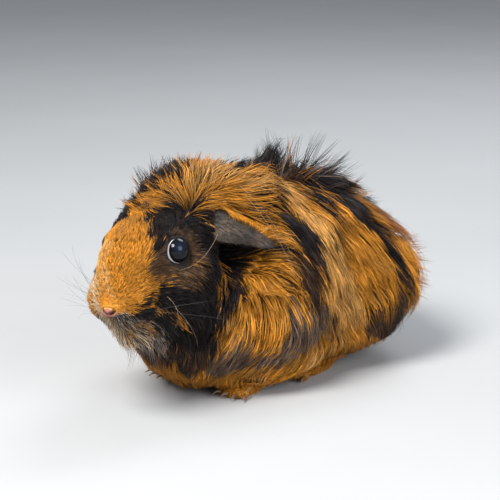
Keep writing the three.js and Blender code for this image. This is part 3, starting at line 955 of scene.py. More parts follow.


# %% [markdown]
# ## Eyes
# Each eyeball is a glossy ball of the real size. The dark iris covers nearly all that shows. It looks a
# little backwards, as the eye of a wary animal does, so that a thin crescent of white is left at the front.
# A faint blue reflection is painted on the side that looks up. The lids are a closed ring, spun round the
# axis of the opening and drawn out slightly into an almond.

# %% Eyeballs and lids
IRIS = math.radians(69)
GLANCE = 0.17  # how far the gaze turns backwards from the middle of the opening
LID_PROFILE = [  # degrees from the middle of the opening, and mm above the eyeball
    (67, -0.35), (69, 0.12), (71, 0.38), (74, 0.55), (78, 0.56), (82, 0.34), (86, 0.0), (86, -0.9),
    (76, -0.9),
]
DARK_IRIS, WHITE = np.array((0.003, 0.003, 0.005)), np.array((0.92, 0.90, 0.88))
LIMBUS, LIMBUS_REACH = np.array((0.02, 0.016, 0.016)), 0.05
# painted reflection: colour and reach of a soft blue patch on the side of the eye that looks up
PAINTED_REFLECTION, PAINTED_REFLECTION_REACH = np.array((0.005, 0.010, 0.024)), 0.42
made_eyes, lid_rings = {}, []


def turn_to(way):
    """The turn that brings the Z axis to this way."""
    return Vector((0, 0, 1)).rotation_difference(Vector(way)).to_matrix()


for side in EYES:
    middle = eye_middle(side)
    axis = eye_axis(side)
    gaze = unit(axis + HEAD_TURN @ np.array((0, GLANCE, 0.02)))
    ball = bmesh.new()
    bmesh.ops.create_uvsphere(ball, u_segments=96, v_segments=64, radius=EYE_RADIUS * MM)
    bmesh.ops.rotate(ball, verts=ball.verts, matrix=turn_to(gaze))
    bmesh.ops.translate(ball, verts=ball.verts, vec=middle * MM)
    eye = object_of(f"eyeball_{side}", ball, EYE)
    eye.data.shade_smooth()
    looks = points_of(eye) - middle
    angle = angle_from(looks, gaze)
    edge = bell(angle - IRIS + 0.02, LIMBUS_REACH)[:, None]
    # painted reflection of the sky, strongest on the side of the eye that looks up
    lit_way = unit(gaze + HEAD_TURN @ np.array((-0.15 * EYES[side], -0.25, 0.3)))
    painted_reflection = bell(angle_from(looks, lit_way), PAINTED_REFLECTION_REACH)[:, None]
    iris = DARK_IRIS + PAINTED_REFLECTION * painted_reflection + LIMBUS * edge
    paint(eye, mix(iris, WHITE, smooth_step(IRIS - 0.03, IRIS + 0.03, angle)))
    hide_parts(f"eye_{side}")
    made_eyes[side] = eye

    lids = bmesh.new()
    ring = []
    for degrees, height in LID_PROFILE:
        reach, turn = (EYE_RADIUS + height) * MM, math.radians(degrees)
        ring.append(lids.verts.new((math.sin(turn) * reach, 0, math.cos(turn) * reach)))
    loop = [lids.edges.new((a, b)) for a, b in zip(ring, ring[1:] + ring[:1])]
    bmesh.ops.spin(
        lids, geom=ring + loop, cent=(0, 0, 0), axis=(0, 0, 1), angle=2 * math.pi, steps=72, use_merge=True
    )
    bmesh.ops.remove_doubles(lids, verts=lids.verts, dist=0.005 * MM)
    bmesh.ops.recalc_face_normals(lids, faces=lids.faces)
    for vertex in lids.verts:  # one corner of the opening is drawn out
        x, y, z = vertex.co
        vertex.co = (x * (1 + 0.05 * bell(math.atan2(y, -x), 0.5)), y, z)
    sideways = unit(np.cross(HEAD_TURN[:, 2], axis))
    onto_axis = Matrix(np.array([sideways, np.cross(axis, sideways), axis]).T.tolist()).to_4x4()
    bmesh.ops.transform(lids, verts=lids.verts, matrix=Matrix.Translation(Vector(middle * MM)) @ onto_axis)
    lid_rings.append(lids)
print("eye radius", round(EYE_RADIUS, 2), "mm")

# %% [markdown]
# ## Nose
# The nose pad is a small cushion of bare pink skin with two comma-shaped nostrils and a groove between
# them. It starts as a sphere of fine squares, whose points are moved: a Displace modifier with an image
# would do the same.

# %% Nose pad
pad_bm = bmesh.new()
bmesh.ops.create_uvsphere(pad_bm, u_segments=72, v_segments=48, radius=1.0)
pad = Surface(pad_bm)
x, y, z = pad.points.T * MM
x = x * PAD[0] * (1 + 0.18 * z)
shape = np.stack([x, y * PAD[1], z * PAD[2] - 0.25 * np.abs(x) / PAD[0]], axis=1)
front = smooth_step(0.2, -0.3, y)
from_front = shape * (1, 0, 1)
hollow = np.zeros(len(x))
for sign in (1, -1):
    comma = np.array([(0.9, 0, -0.7), (1.6, 0, -0.4), (2.3, 0, 0.2), (2.8, 0, 1.0)]) * (sign, 1, 1)
    distance, _ = near(from_front, comma)
    hollow = np.maximum(hollow, bell(distance, 0.75) * front)
    shape[:, 1] -= 0.22 * bell(distance - 1.1, 0.45) * front  # the raised edge of the nostril
groove = bell(x, 0.4) * smooth_step(0.5, -0.8, z) * front
shape[:, 1] += 1.5 * hollow + 0.5 * groove
pad.points = NOSE_MIDDLE + shape @ HEAD_TURN.T
pad.into(pad_bm)
nose_pad = object_of("nose_pad", pad_bm, NOSE)
nose_pad.data.shade_smooth()
PINK, WINE_AND_SHADE = np.array((0.28, 0.115, 0.090)), np.array((0.06, 0.016, 0.018))
RIM = np.array((0.50, 0.25, 0.07))
to_rim = smooth_step(0.55, 0.95, np.hypot(x / PAD[0], z)) * smooth_step(-0.5, 0.3, z)
# the nostrils are painted dark wine: partly their own skin, partly painted shade in the hollows
paint(nose_pad, mix(mix(PINK, RIM, to_rim), WINE_AND_SHADE, hollow))
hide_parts("nose")
print("nose pad has", len(nose_pad.data.vertices), "points")

# %% [markdown]
# ## Skin, ears and claws as objects
# Skin, lids and feet become one object, coloured by the markings and darker than the hair, because it is
# seen only in the shade between hairs. The lids are nearly black, with a thin paler line where the lashes
# begin. The claws of the solids are coarse cones, so each is rebuilt as a tapered, slightly bent horn
# between the same root and point.

# %% Join the skin
LID_BLACK, LASH_LINE = np.array((0.010, 0.008, 0.008)), np.array((0.10, 0.085, 0.08))
skin_object = object_of("skin", joined([skin_bm, feet, *lid_rings]), SKIN)
skin_object.data.shade_smooth()
spot = points_of(skin_object)
still = np.full(len(spot), 0.5)
tint, _ = marked(spot + vectors_of(skin_object, "normal") * coat(spot)[0][:, None], still, still)
for side in EYES:
    distance, angle = from_eye(spot, side)
    gap = distance - EYE_RADIUS
    on_lid = smooth_step(1.6, 0.8, gap)
    shaded = 1 - 0.7 * smooth_step(5.0, 2.0, gap)
    tint = mix(tint * shaded[:, None], LID_BLACK, on_lid)
    tint += (on_lid * bell(angle - math.radians(77), 0.04))[:, None] * LASH_LINE
muzzle = smooth_step(1.5, -1.5, in_head(spot)[:, 1] + 52)
tint = mix(tint * 0.5, tint * 0.8, muzzle)
paint(skin_object, tint)
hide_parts("head", "neck", "trunk", *LEGS)
print("skin, lids and feet have", len(spot), "points")

# %% Ears
EAR_DARK, EAR_PATCH = np.array((0.032, 0.024, 0.019)), np.array((0.036, 0.024, 0.016))
ear_objects = {}
for side, (bm, shape) in ears.items():
    ear = object_of(f"ear_petal_{side}", bm, EAR)
    ear.data.shade_smooth()
    spot = in_ear(points_of(ear), side)
    along, across = spot @ EAR_ALONG, spot @ EAR_ACROSS
    patches = smooth_step(0.1, 0.9, ripple(points_of(ear), 5, 8)) + 0.5 * smooth_step(-3, -6, across)
    shaded = 0.25 + 0.75 * smooth_step(-15, -8, along - 0.5 * across)
    paint(ear, (EAR_DARK + patches[:, None] * EAR_PATCH) * shaded[:, None])
    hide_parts(f"ear_{side}")
    ear_objects[side] = ear
print("ears have", [len(ear.data.vertices) for ear in ear_objects.values()], "points")

# %% Claws
CLAW_ROOT, CLAW_TIP, CLAW_BEND = 0.85, 0.12, 0.35  # half widths, and height of the bend, in mm
claw_nodes = [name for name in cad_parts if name.startswith("claw_")]
claws_bm = bmesh.new()
for name in claw_nodes:
    corners = np.unique(points_of(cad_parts[name]).round(3), axis=0)
    centre = corners.mean(axis=0)
    point = corners[np.argmax(distance_to(corners, centre))]
    root = corners[distance_to(corners, point) > 2.2].mean(axis=0)
    length = np.linalg.norm(point - root)
    turn = turn_to(unit(point - root)).to_4x4()
    cone = bmesh.ops.create_cone(
        claws_bm, cap_ends=True, segments=12,
        radius1=CLAW_ROOT * MM, radius2=CLAW_TIP * MM, depth=length * MM,
        matrix=Matrix.Translation(Vector((point + root) / 2 * MM)) @ turn,
    )
    edges = {edge for vertex in cone["verts"] for edge in vertex.link_edges}
    long_edges = [edge for edge in edges if edge.calc_length() > length * 0.8 * MM]
    bmesh.ops.subdivide_edges(claws_bm, cuts=4, edges=long_edges)
    for vertex in {v for v in claws_bm.verts if (v.co / MM - Vector(centre)).length < 5}:
        share = (np.array(vertex.co) / MM - root) @ unit(point - root) / length
        vertex.co.z += CLAW_BEND * MM * math.sin(math.pi * min(max(share, 0), 1))
claws = object_of("claws", claws_bm, HORN)
claws.data.shade_smooth()
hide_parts(*claw_nodes)
print(len(claw_nodes), "claws")

# %% [markdown]
# ## An unwrap for the coat
# Each hair is given a tiny patch of a texture. The patch lies where the hair's root would be if the skin
# were unwrapped, so a thinned copy of the skin is unwrapped once, and every root looks up its place on it.

# %% Unwrap a thinned copy of the skin
UNWRAP_FACES = 3000
PATCH = 0.003  # each hair's share of the unwrap


def unwrap_of(bm):
    thin = object_of("unwrap", bm.copy())
    fewer = thin.modifiers.new("fewer", "DECIMATE")
    fewer.ratio = UNWRAP_FACES / len(bm.faces)
    mesh = bpy.data.meshes.new_from_object(finished(thin))
    thin.modifiers.clear()
    thin.data = mesh
    bpy.context.view_layer.objects.active = thin
    for other in bpy.context.selected_objects:
        other.select_set(False)
    thin.select_set(True)
    bpy.ops.object.mode_set(mode="EDIT")
    bpy.ops.mesh.select_all(action="SELECT")
    bpy.ops.mesh.quads_convert_to_tris()
    bpy.ops.uv.smart_project(angle_limit=math.radians(66), island_margin=0.01)
    bpy.ops.object.mode_set(mode="OBJECT")
    corners = np.array([v.co for v in mesh.vertices]) / MM
    tris = np.array([p.vertices[:] for p in mesh.polygons])
    flat = np.zeros(len(mesh.loops) * 2, np.float32)
    mesh.uv_layers.active.data.foreach_get("uv", flat)
    uv = flat.reshape(-1, 3, 2).astype(float)
    bpy.data.objects.remove(thin)
    return corners, tris, uv, BVHTree.FromPolygons(corners.tolist(), tris.tolist())


UNWRAP = unwrap_of(skin_bm)
print("unwrap of", len(UNWRAP[1]), "triangles")


def unwrapped(points):
    """Where these places lie on the skin's unwrap."""
    corners, tris, uv, tree = UNWRAP
    hits = [tree.find_nearest(p) for p in points.tolist()]
    face = np.array([hit[2] for hit in hits])
    spot = np.array([hit[0] for hit in hits])
    a, b, c = (corners[tris[face, i]] for i in range(3))
    normal = np.cross(b - a, c - a)
    size = np.maximum((normal**2).sum(axis=1), 1e-9)
    wb = (np.cross(spot - a, c - a) * normal).sum(axis=1) / size
    wc = (np.cross(b - a, spot - a) * normal).sum(axis=1) / size
    weights = np.stack([1 - wb - wc, wb, wc], axis=1)
    return np.clip((uv[face] * weights[:, :, None]).sum(axis=1), PATCH, 1 - PATCH)


# %% [markdown]
# ## One hair, many times
# A hair is a closed three-sided blade of a few rings that ends in a point. Its colour is kept in an
# attribute, darker at the root, where other hairs shade it. The blades of one piece are one mesh, made from
# arrays. A particle system or hair curves would be quicker to comb by hand, but they don't survive an
# export.

# %% Blades from paths
def triangles_of(rings):
    """How many triangles a blade has."""
    return 6 * (rings - 1) + 4


def blades(name, paths, widths, outward, colours, roots):
    """A mesh of one blade along each path. Paths are (hairs, rings + 1, 3); the rest is spread to that."""
    count, rings = len(paths), paths.shape[1] - 1
    widths, colours = np.broadcast_to(widths, paths.shape[:2]), np.broadcast_to(colours, paths.shape)
    along = np.gradient(paths, axis=1)
    across = unit(np.cross(along, outward))
    up = unit(np.cross(across, along))
    half = widths[:, :, None] / 2
    corners = np.stack([paths + across * half, paths - across * half, paths + up * half * 0.8], axis=2)
    ring_points = corners[:, :rings].reshape(count, rings * 3, 3)
    vertices = np.concatenate([ring_points, paths[:, rings:]], axis=1)
    per_blade = rings * 3 + 1
    quads = [
        (3 * r + i, 3 * r + (i + 1) % 3, 3 * r + 3 + (i + 1) % 3, 3 * r + 3 + i)
        for r in range(rings - 1) for i in range(3)
    ]
    last = 3 * (rings - 1)
    tris = [(last + i, last + (i + 1) % 3, per_blade - 1) for i in range(3)] + [(2, 1, 0)]
    pattern = np.array([v for face in quads + tris for v in face])
    starts = np.cumsum([0] + [4] * len(quads) + [3] * len(tris))
    loops = (pattern[None] + per_blade * np.arange(count)[:, None]).ravel()
    loop_starts = (starts[:-1][None] + starts[-1] * np.arange(count)[:, None]).ravel()

    mesh = bpy.data.meshes.new(name)
    mesh.vertices.add(count * per_blade)
    mesh.vertices.foreach_set("co", (vertices * MM).astype(np.float32).ravel())
    mesh.loops.add(len(loops))
    mesh.loops.foreach_set("vertex_index", loops.astype(np.int32))
    mesh.polygons.add(len(loop_starts))
    mesh.polygons.foreach_set("loop_start", loop_starts.astype(np.int32))
    mesh.update(calc_edges=True)
    mesh.shade_smooth()

    rgba = np.ones((count, per_blade, 4), np.float32)
    rgba[:, : rings * 3, :3] = np.repeat(colours[:, :rings], 3, axis=1)
    rgba[:, -1, :3] = colours[:, rings]
    mesh.color_attributes.new("coat_colour", "FLOAT_COLOR", "POINT").data.foreach_set("color", rgba.ravel())

    ring = np.append(np.repeat(np.arange(rings), 3), rings) / rings
    side = np.append(np.tile(np.arange(3), rings), 1) / 2
    patch = (np.stack([side, ring], axis=1) - 0.5) * PATCH
    uv = (unwrapped(roots)[:, None] + patch[None])[:, pattern]
    mesh.uv_layers.new(name="OFBake").data.foreach_set("uv", uv.astype(np.float32).ravel())
    mesh.materials.append(HAIR)
    return linked(name, mesh)


# %% [markdown]
# ## Growing
# Roots are strewn over the skin as densely as the coat table says. Each hair walks over the skin the way
# the coat is combed, rising from it to its own height in the coat. Hairs then gather: every hair leans
# towards the leader of its small lock, and that one towards the leader of a large lock.

# %% The ground that hair grows on
class Ground:
    """A surface that hair grows on."""

    def __init__(self, shape):
        a, b, c, d = shape.faces.T
        second = c != d
        self.tris = np.concatenate([np.stack([a, b, c], 1), np.stack([a, c, d], 1)[second]])
        self.points = shape.points
        self.normals = shape.soft_normals(4)
        usual = coat(self.points)[0]
        room = shape.spread(room_outside(self.points, self.normals, 45, usual + CLOSING) - CLOSING, 12)
        self.room = np.clip(room, 0.4 * usual, 1.8 * usual + 2)
        for middle, reach, more in TUFTS:
            away = distance_to(self.points + self.normals * self.room[:, None], middle)
            self.room = self.room + more * bell(away, reach)
        self.tree = BVHTree.FromPolygons(self.points.tolist(), self.tris.tolist())
        p, q, r = (self.points[self.tris[:, i]] for i in range(3))
        self.area = np.linalg.norm(np.cross(q - p, r - p), axis=1) / 2
        self.middles = (p + q + r) / 3

    def strew(self, density):
        """Roots strewn at this many per square mm of each triangle."""
        expected = self.area * density
        counts = np.floor(expected + dice.random(len(expected))).astype(int)
        tri = np.repeat(np.arange(len(counts)), counts)
        u, v = dice.random((2, len(tri)))
        over = u + v > 1
        u[over], v[over] = 1 - u[over], 1 - v[over]
        p, q, r = (self.points[self.tris[tri, i]] for i in range(3))
        roots = p + u[:, None] * (q - p) + v[:, None] * (r - p)
        return roots, self.normals[self.tris[tri]].mean(axis=1), self.room[self.tris[tri]].mean(axis=1)

    def land(self, points):
        """The nearest points of the surface, and its smoothed normals and the room for hair there."""
        hits = [self.tree.find_nearest(p) for p in points.tolist()]
        corners = self.tris[np.array([hit[2] for hit in hits])]
        spot = np.array([hit[0] for hit in hits])
        return spot, unit(self.normals[corners].mean(axis=1)), self.room[corners].mean(axis=1)


# %% Laying, turning and leading
def lying(directions, normals):
    """Directions laid flat along the surface."""
    return unit(directions - (directions * normals).sum(axis=1, keepdims=True) * normals)


def turned(directions, normals, angles):
    """Directions along the surface, turned on it."""
    return directions * np.cos(angles)[:, None] + np.cross(normals, directions) * np.sin(angles)[:, None]


def leaders_among(roots, spacing, density):
    """Picks leaders this far apart, and finds each hair's nearest one."""
    chance = 1 / (spacing**2 * density)
    leaders = np.flatnonzero(dice.random(len(roots)) < chance)
    tree = KDTree(len(leaders))
    for i, leader in enumerate(leaders):
        tree.insert(roots[leader], i)
    tree.balance()
    return leaders[[tree.find(p)[1] for p in roots.tolist()]]


# %% Grow and dye the hairs
KINDS = [("short", 2, 0, 5.5), ("middling", 3, 5.5, 11), ("long", 4, 11, 99)]  # rings, length from and to
TAPER = {2: [0.9, 0.75, 0], 3: [0.8, 1.0, 0.6, 0], 4: [0.75, 1.0, 0.9, 0.6, 0]}  # share of the width by ring
FLOOR = 0.25  # hair tips stay this far above the floor
DROOP = np.array([0, 0, -0.12])  # the hair's own weight, added to the way it is combed
BROWNED, DARKENED = 0.12, 0.1  # shares of the black hairs, and of the long orange and gold ones
PEPPER = [("cream", 0.0, 0.2), ("black", 0.65, 1.0)]  # what single grey hairs turn to, by chance from and to


def dyed(seen, roots, length, rings, big, small, own, chance):
    """Colours along the hairs: the markings where each is seen, made uneven by chance, with painted shade at
    the roots.
    """
    tint, shade = marked(seen, chance[4][small], chance[4])
    uneven = 0.45 + 0.55 * smooth_step(3, 9, length)  # the short hair of the face is smoother
    bright = np.exp(uneven * (0.22 * own[2] + 0.22 * own[0][small] + 0.14 * own[2][big]) - 0.03)
    tint = tint * np.where(shade == BLACK, bright**2, bright)[:, None]
    tint[(shade == BLACK) & (chance[1] < BROWNED)] = COLOURS["brown"]
    tint *= 1 - 0.08 * smooth_step(4, 12, length)[:, None]
    orange_or_gold = np.isin(shade, [names.index("orange"), names.index("gold")])
    tint[orange_or_gold & (chance[1] > 1 - DARKENED) & (length > 6)] *= 0.3
    for name, low, high in PEPPER:
        tint[(shade == GREY) & (chance[1] >= low) & (chance[1] < high)] = COLOURS[name]
    pale = np.clip(uneven * (0.18 * own[1] + 0.12 * own[1][small]), 0, 0.4)[:, None]
    pale_tint = np.array(COLOURS["gold"]) * pale * (tint.sum(axis=1, keepdims=True) > 0.15)
    tint = tint * (1 - pale) + pale_tint
    # painted shade: darker at the root, where other hairs shade it, and lighter towards the tip
    root_shade = np.interp(np.linspace(0, 1, rings + 1), [0, 0.3, 0.75, 1], [0.3, 0.7, 1.0, 1.25])
    # painted shadow in the hearts of the rosettes, fading from the root to the tip
    hearts = np.min([distance_to(roots, heart) for heart, _, _ in ROSETTES[:4]], axis=0)
    shadow = 0.8 * bell(hearts, 11)[:, None] * np.linspace(1, 0, rings + 1)
    return tint[:, None] * root_shade[None, :, None] * (1 - shadow)[:, :, None]


def grown(ground, roots, normals, room, rings, density):
    """Paths, widths, outward directions and colours of the hairs with these roots."""
    count = len(roots)
    _, length, _, width, locks = coat(roots)
    big = leaders_among(roots, 2.4 + 0.2 * length, density)
    small = leaders_among(roots, 0.7 + 0.045 * length, density)
    own, chance = dice.normal(size=(4, count)), dice.random((5, count))
    outer = roots + normals * room[:, None]

    # Some hairs are strays: thinner, longer, and not held in a lock. Standing hair has more of them.
    stray = chance[0] < 0.05
    length = length * (0.82 + 0.2 * chance[1] + 0.12 * own[0][big]) * np.where(stray, 1.15, 1)
    up = upright(outer)
    stray |= chance[0] < 0.25 * up
    layer = 0.66 + 0.3 * chance[2][big] + 0.3 * chance[2] + 0.2 * stray
    layer = layer * (1 - up) + (0.72 + 0.33 * chance[2][big] + 0.1 * chance[2] + 0.3 * stray) * up
    length = length * (1 - up) + np.minimum(length, 1.3 * room) * np.where(stray, 1.3, 1) * up
    share_up = np.minimum(layer * room, (0.5 + 0.45 * up) * length) / room
    advance = np.sqrt(np.maximum(length**2 - (share_up * room) ** 2, 0.05 * length**2))

    # The walk: the way is combed anew at each step, so that the hair bends with the strokes.
    way = lying(combed(outer), normals)
    way = turned(way, normals, 0.12 * own[1][big] + 0.08 * own[1] + 0.25 * stray * own[2])
    alike = [smooth_step(0.2, 0.8, (way * way[leader]).sum(axis=1)) for leader in (big, small)]
    bend = 0.06 * own[3][big] + 0.04 * own[3]
    base, normal = roots, normals
    paths = np.zeros((count, rings + 1, 3))
    outward = np.zeros_like(paths)
    paths[:, 0] = roots - normals * 0.3
    outward[:, 0] = normals
    for step in range(1, rings + 1):
        share = step / rings
        base, normal, room = ground.land(base + way * (advance / rings)[:, None])
        lie = lying(combed(base + normal * room[:, None]) + DROOP, normal)
        way = turned(lying(0.6 * way + 0.4 * lie, normal), normal, bend)
        lift = share_up * room * (up * share + (1 - up) * (1 - (1 - share) ** 1.8))
        paths[:, step] = base + normal * lift[:, None]
        outward[:, step] = normal
        if step == 1 + rings // 2:
            seen = base + normal * room[:, None]

    # Locks: hairs that run alike lean towards their leaders, more so towards the tip.
    share = np.linspace(0, 1, rings + 1)[None, :, None]
    hold = np.where(stray, 0.15, 1)
    for leader, pull, like in ((big, 0.45 * locks, alike[0]), (small, 0.15 + 0.7 * locks, alike[1])):
        pull = (pull * hold * like)[:, None]
        paths = paths + pull[:, :, None] * share**1.3 * (paths[leader] - paths)
        seen = seen + pull * 0.7 * (seen[leader] - seen)
    paths[:, 1:, 2] = np.maximum(paths[:, 1:, 2], FLOOR)
    widths = width[:, None] * (0.8 + 0.4 * chance[3])[:, None] * np.array(TAPER[rings])
    widths = widths * np.where(stray, 0.6, 1)[:, None]
    return paths, widths, outward, dyed(seen, roots, length, rings, big, small, own, chance)


print("hairs of", [triangles_of(rings) for _, rings, _, _ in KINDS], "triangles")

# %% Strew the roots
BUDGET = 1_270_000  # triangles of the whole coat
ground = Ground(skin)
_, length_there, density, _, _ = coat(ground.middles)
behind, across_pad = from_pad(ground.middles)
bald = (across_pad < 1.0) & (behind < 5) | (ground.middles[:, 2] < 0.6)
for side in EYES:
    distance, angle = from_eye(ground.middles, side)
    gap = distance - EYE_RADIUS
    bald |= (gap < 2.0) & (angle < OPENING + 0.06)
    density = density * (1 + 2.5 * smooth_step(4.5, 2.0, gap))  # so that no skin shows beside the lids
density = np.where(bald, 0, density)
cost = np.zeros(len(ground.area))
for _, rings, low, high in KINDS:
    cost[(length_there >= low) & (length_there < high)] = triangles_of(rings)
expected = (ground.area * density * cost).sum()
fill = BUDGET / expected * 1
roots, root_normals, root_room = ground.strew(density * fill)
_, root_length, root_density, _, _ = coat(roots)
print(f"{expected:.0f} triangles asked for, filled {fill:.2f}, {len(roots)} hairs")

# %% [markdown]
# ## The coat in pieces
# Long and short hairs are grown apart, as they differ in their number of rings, and each lot is divided by
# where it grows, so that no piece is too heavy.

# %% Grow the coat in pieces
PIECE_LIMIT = 195_000  # triangles


def left_or_right(values):
    return np.where(values > 0, "left", "right")


def district(points):
    """The name of the part of the body that each root belongs to."""
    spot = in_head(points)
    side = np.where(spot[:, 1] < 20, left_or_right(spot[:, 0]), left_or_right(points[:, 0]))
    tests = [spot[:, 1] < 26, points[:, 2] > 66, points[:, 1] < 18, points[:, 1] < 50]
    part = np.select(tests, ["neck", "saddle", "shoulder", "flank"], "rump")
    return np.char.add(np.char.add(part, "_"), side)


coat_pieces = []
coat_triangles = 0
for kind, rings, low, high in KINDS:
    chosen = (root_length >= low) & (root_length < high)
    own_roots = roots[chosen]
    paths, widths, outward, colours = grown(
        ground, own_roots, root_normals[chosen], root_room[chosen], rings, root_density[chosen] * fill
    )
    clear = np.ones(len(paths), bool)  # of the open eye
    for side in EYES:
        distance, angle = from_eye(paths, side)
        clear &= ~((distance < EYE_RADIUS + 2.5) & (angle < OPENING + 0.03)).any(axis=1)
    where = district(own_roots) if kind == "long" else left_or_right(in_head(own_roots)[:, 0])
    for name in sorted(set(where)):
        mine = np.flatnonzero(clear & (where == name))
        mine = mine[np.argsort(own_roots[mine, 1])]
        shares = np.array_split(mine, math.ceil(len(mine) * triangles_of(rings) / PIECE_LIMIT))
        for number, few in enumerate(shares, 1):
            made = blades(
                f"coat_{kind}_{name}_{number}",
                paths[few], widths[few], outward[few], colours[few], own_roots[few],
            )
            coat_pieces.append(made)
            coat_triangles += len(few) * triangles_of(rings)
            print(made.name, len(few), "hairs")
print("coat:", coat_triangles, "triangles")

# %% [markdown]
# ## Short hair of ears and feet
# Ears and feet have hair only a millimetre or two long, which needs no locks and no walk: each hair is a
# short blade that lies along the form.

# %% Short hair
EAR_HAIR = np.array((0.048, 0.037, 0.030))


def short_coat(name, shape, length, depth, width, way, tone):
    """Short hair lying this way over a small form."""
    small_ground = Ground(shape)
    own_roots, own_normals, _ = small_ground.strew(np.full(len(small_ground.area), 2.2))
    own = dice.normal(size=(3, len(own_roots)))
    direction = lying(np.array(way) + 0.25 * own.T, own_normals)
    reach = length * (1 + 0.2 * own[0])[:, None]
    middle = own_roots + direction * reach * 0.5 + own_normals * depth * 0.6
    tip = own_roots + direction * reach + own_normals * depth
    paths = np.stack([own_roots - own_normals * 0.2, middle, tip], axis=1)
    paths[:, :, 2] = np.maximum(paths[:, :, 2], FLOOR)
    tint = tone(own_roots) * np.exp(0.25 * own[1])[:, None]
    # painted shade at the roots, lighter towards the tips
    colours = tint[:, None] * np.array([0.6, 1.0, 1.15])[None, :, None]
    made = blades(name, paths, width * np.array(TAPER[2]), own_normals[:, None], colours, own_roots)
    coat_pieces.append(made)
    print(name, len(own_roots), "hairs")


def foot_tone(points):
    return marked(points, np.full(len(points), 0.5), dice.random(len(points)))[0]


for side, (_, shape) in ears.items():
    ear_way = HEAD_TURN @ np.array((0.85 * EYES[side], 0.35, -0.5))
    short_coat(f"coat_ear_{side}", shape, 2.2, 0.45, 0.14, ear_way, lambda points: EAR_HAIR)
short_coat("coat_feet", feet_shape, 2.4, 0.5, 0.24, (0.0, -1.0, -0.15), foot_tone)

# %% [markdown]
# ## Whiskers and stray hairs
# Whiskers are long, stiff and thin, and sweep out and back from the pads beside the nose. Small tufts stand
# clear of the crests and break their outline. A fringe falls over the upper edge of the near ear, and a few
# long pale hairs lie loosely over the ear and cheek. All of them are the same blades along simple curves.

# %% Whiskers
def bowed(start, end, bow, rings=7):
    """Paths that bow between start and end."""
    t = np.linspace(0, 1, rings + 1)[None, :, None]
    middle = (start + end) / 2 + bow
    return (1 - t) ** 2 * start[:, None] + 2 * t * (1 - t) * middle[:, None] + t**2 * end[:, None]


places = [(sign, row, column) for sign in (1, -1) for row in range(4) for column in range(4)]
sign, row, column = np.array(places).T
at = np.stack([sign * (6.5 + 1.2 * column), -51 + 3.2 * column + 0.5 * row, -6 - 2.6 * row], axis=1)
far = np.stack([sign * (20 + 4.5 * column + 2 * row), -44 + 7 * column, 4 - 7.5 * row], axis=1)
ends = out_of_head(far + dice.normal(size=(len(places), 3)) * 2.5)
bows = (sign[:, None] * (3, 0, 0) + (0, -4, 3)) @ HEAD_TURN.T
landed, normal, _ = ground.land(out_of_head(at))
starts = landed - normal * 0.5
paths = bowed(starts, ends, bows)
widths = 0.10 * np.linspace(1, 0.35, paths.shape[1])
tone = np.where(dice.random(len(paths)) < 0.8, 0.02, 0.2)[:, None, None] * np.array((1.0, 0.9, 0.8))
coat_pieces.append(blades("whiskers", paths, widths, HEAD_TURN[:, 2], tone, starts))
print(len(paths), "whiskers")

# %% Wisps over the crests
WISPS = [  # middle, reach, how many tufts, how far they stand clear
    (head(-7, -10, 24), 11, 60, 6),
    (head(-6, 4, 29), 13, 90, 8),
    (head(-3, 18, 31), 12, 50, 6),
    (body(0, 8, 92), 12, 60, 5),
    (body(0, 30, 93), 15, 130, 8),
    (body(10, 50, 86), 14, 80, 7),
    (body(14, 70, 68), 14, 50, 5),
    (body(38, 70, 46), 16, 70, 5),
    (body(10, 88, 50), 18, 60, 4),
    (head(0, 30, 30), 14, 60, 5),
    (body(-30, 30, 72), 22, 90, 4),
    (head(2, -34, -36), 10, 60, 5),
]
IN_TUFT = 4  # hairs
tufts = []
outer = roots + root_normals * root_room[:, None]
for middle, reach, count, clear_by in WISPS:
    here = np.flatnonzero(distance_to(outer, middle) < reach)
    picked = np.repeat(dice.choice(here, min(count, len(here)), replace=False), IN_TUFT)
    chance = np.repeat(dice.random((4, len(picked) // IN_TUFT, 1)), IN_TUFT, axis=1)
    own = np.repeat(dice.normal(size=(len(picked) // IN_TUFT, 3)), IN_TUFT, axis=0)
    apart = dice.normal(size=(2, len(picked), 3))
    lie = lying(combed(outer[picked]), root_normals[picked])
    way = unit(0.9 * root_normals[picked] + (0.2 + 0.7 * chance[0]) * lie + 0.25 * own)
    start = roots[picked] + 0.8 * lying(apart[0], root_normals[picked])
    reached = root_room[picked, None] + clear_by * (0.1 + chance[1] ** 1.5)
    bow = root_normals[picked] * 1.2 - lie * 1.5 * chance[2]
    tint = marked(outer[picked], np.full(len(picked), 0.5), chance[0][:, 0])[0]
    tint = np.where(chance[3] < 0.12, np.array(COLOURS["ash"]) * 1.8, tint)
    tufts.append((start, start + way * reached + 0.5 * apart[1], bow, tint))
starts, ends, bows, tints = (np.concatenate(part) for part in zip(*tufts))
paths = bowed(starts, ends, bows, 4)
tints = tints[:, None] * np.exp(0.3 * dice.normal(size=(len(paths), 1, 1)))
coat_pieces.append(blades("coat_wisps", paths, np.linspace(0.24, 0.05, 5), (0.3, -0.7, 0.6), tints, starts))
print(len(paths), "hairs in wisps")

# %% Fringe over the near ear
EAR_OUT = np.cross(EAR_ALONG, EAR_ACROSS)


def on_ear(along, across, out):
    """Places given along, across and out from the middle of the left ear."""
    spot = np.outer(along, EAR_ALONG) + np.outer(across, EAR_ACROSS) + np.outer(out, EAR_OUT)
    return out_of_ear(spot, "left")


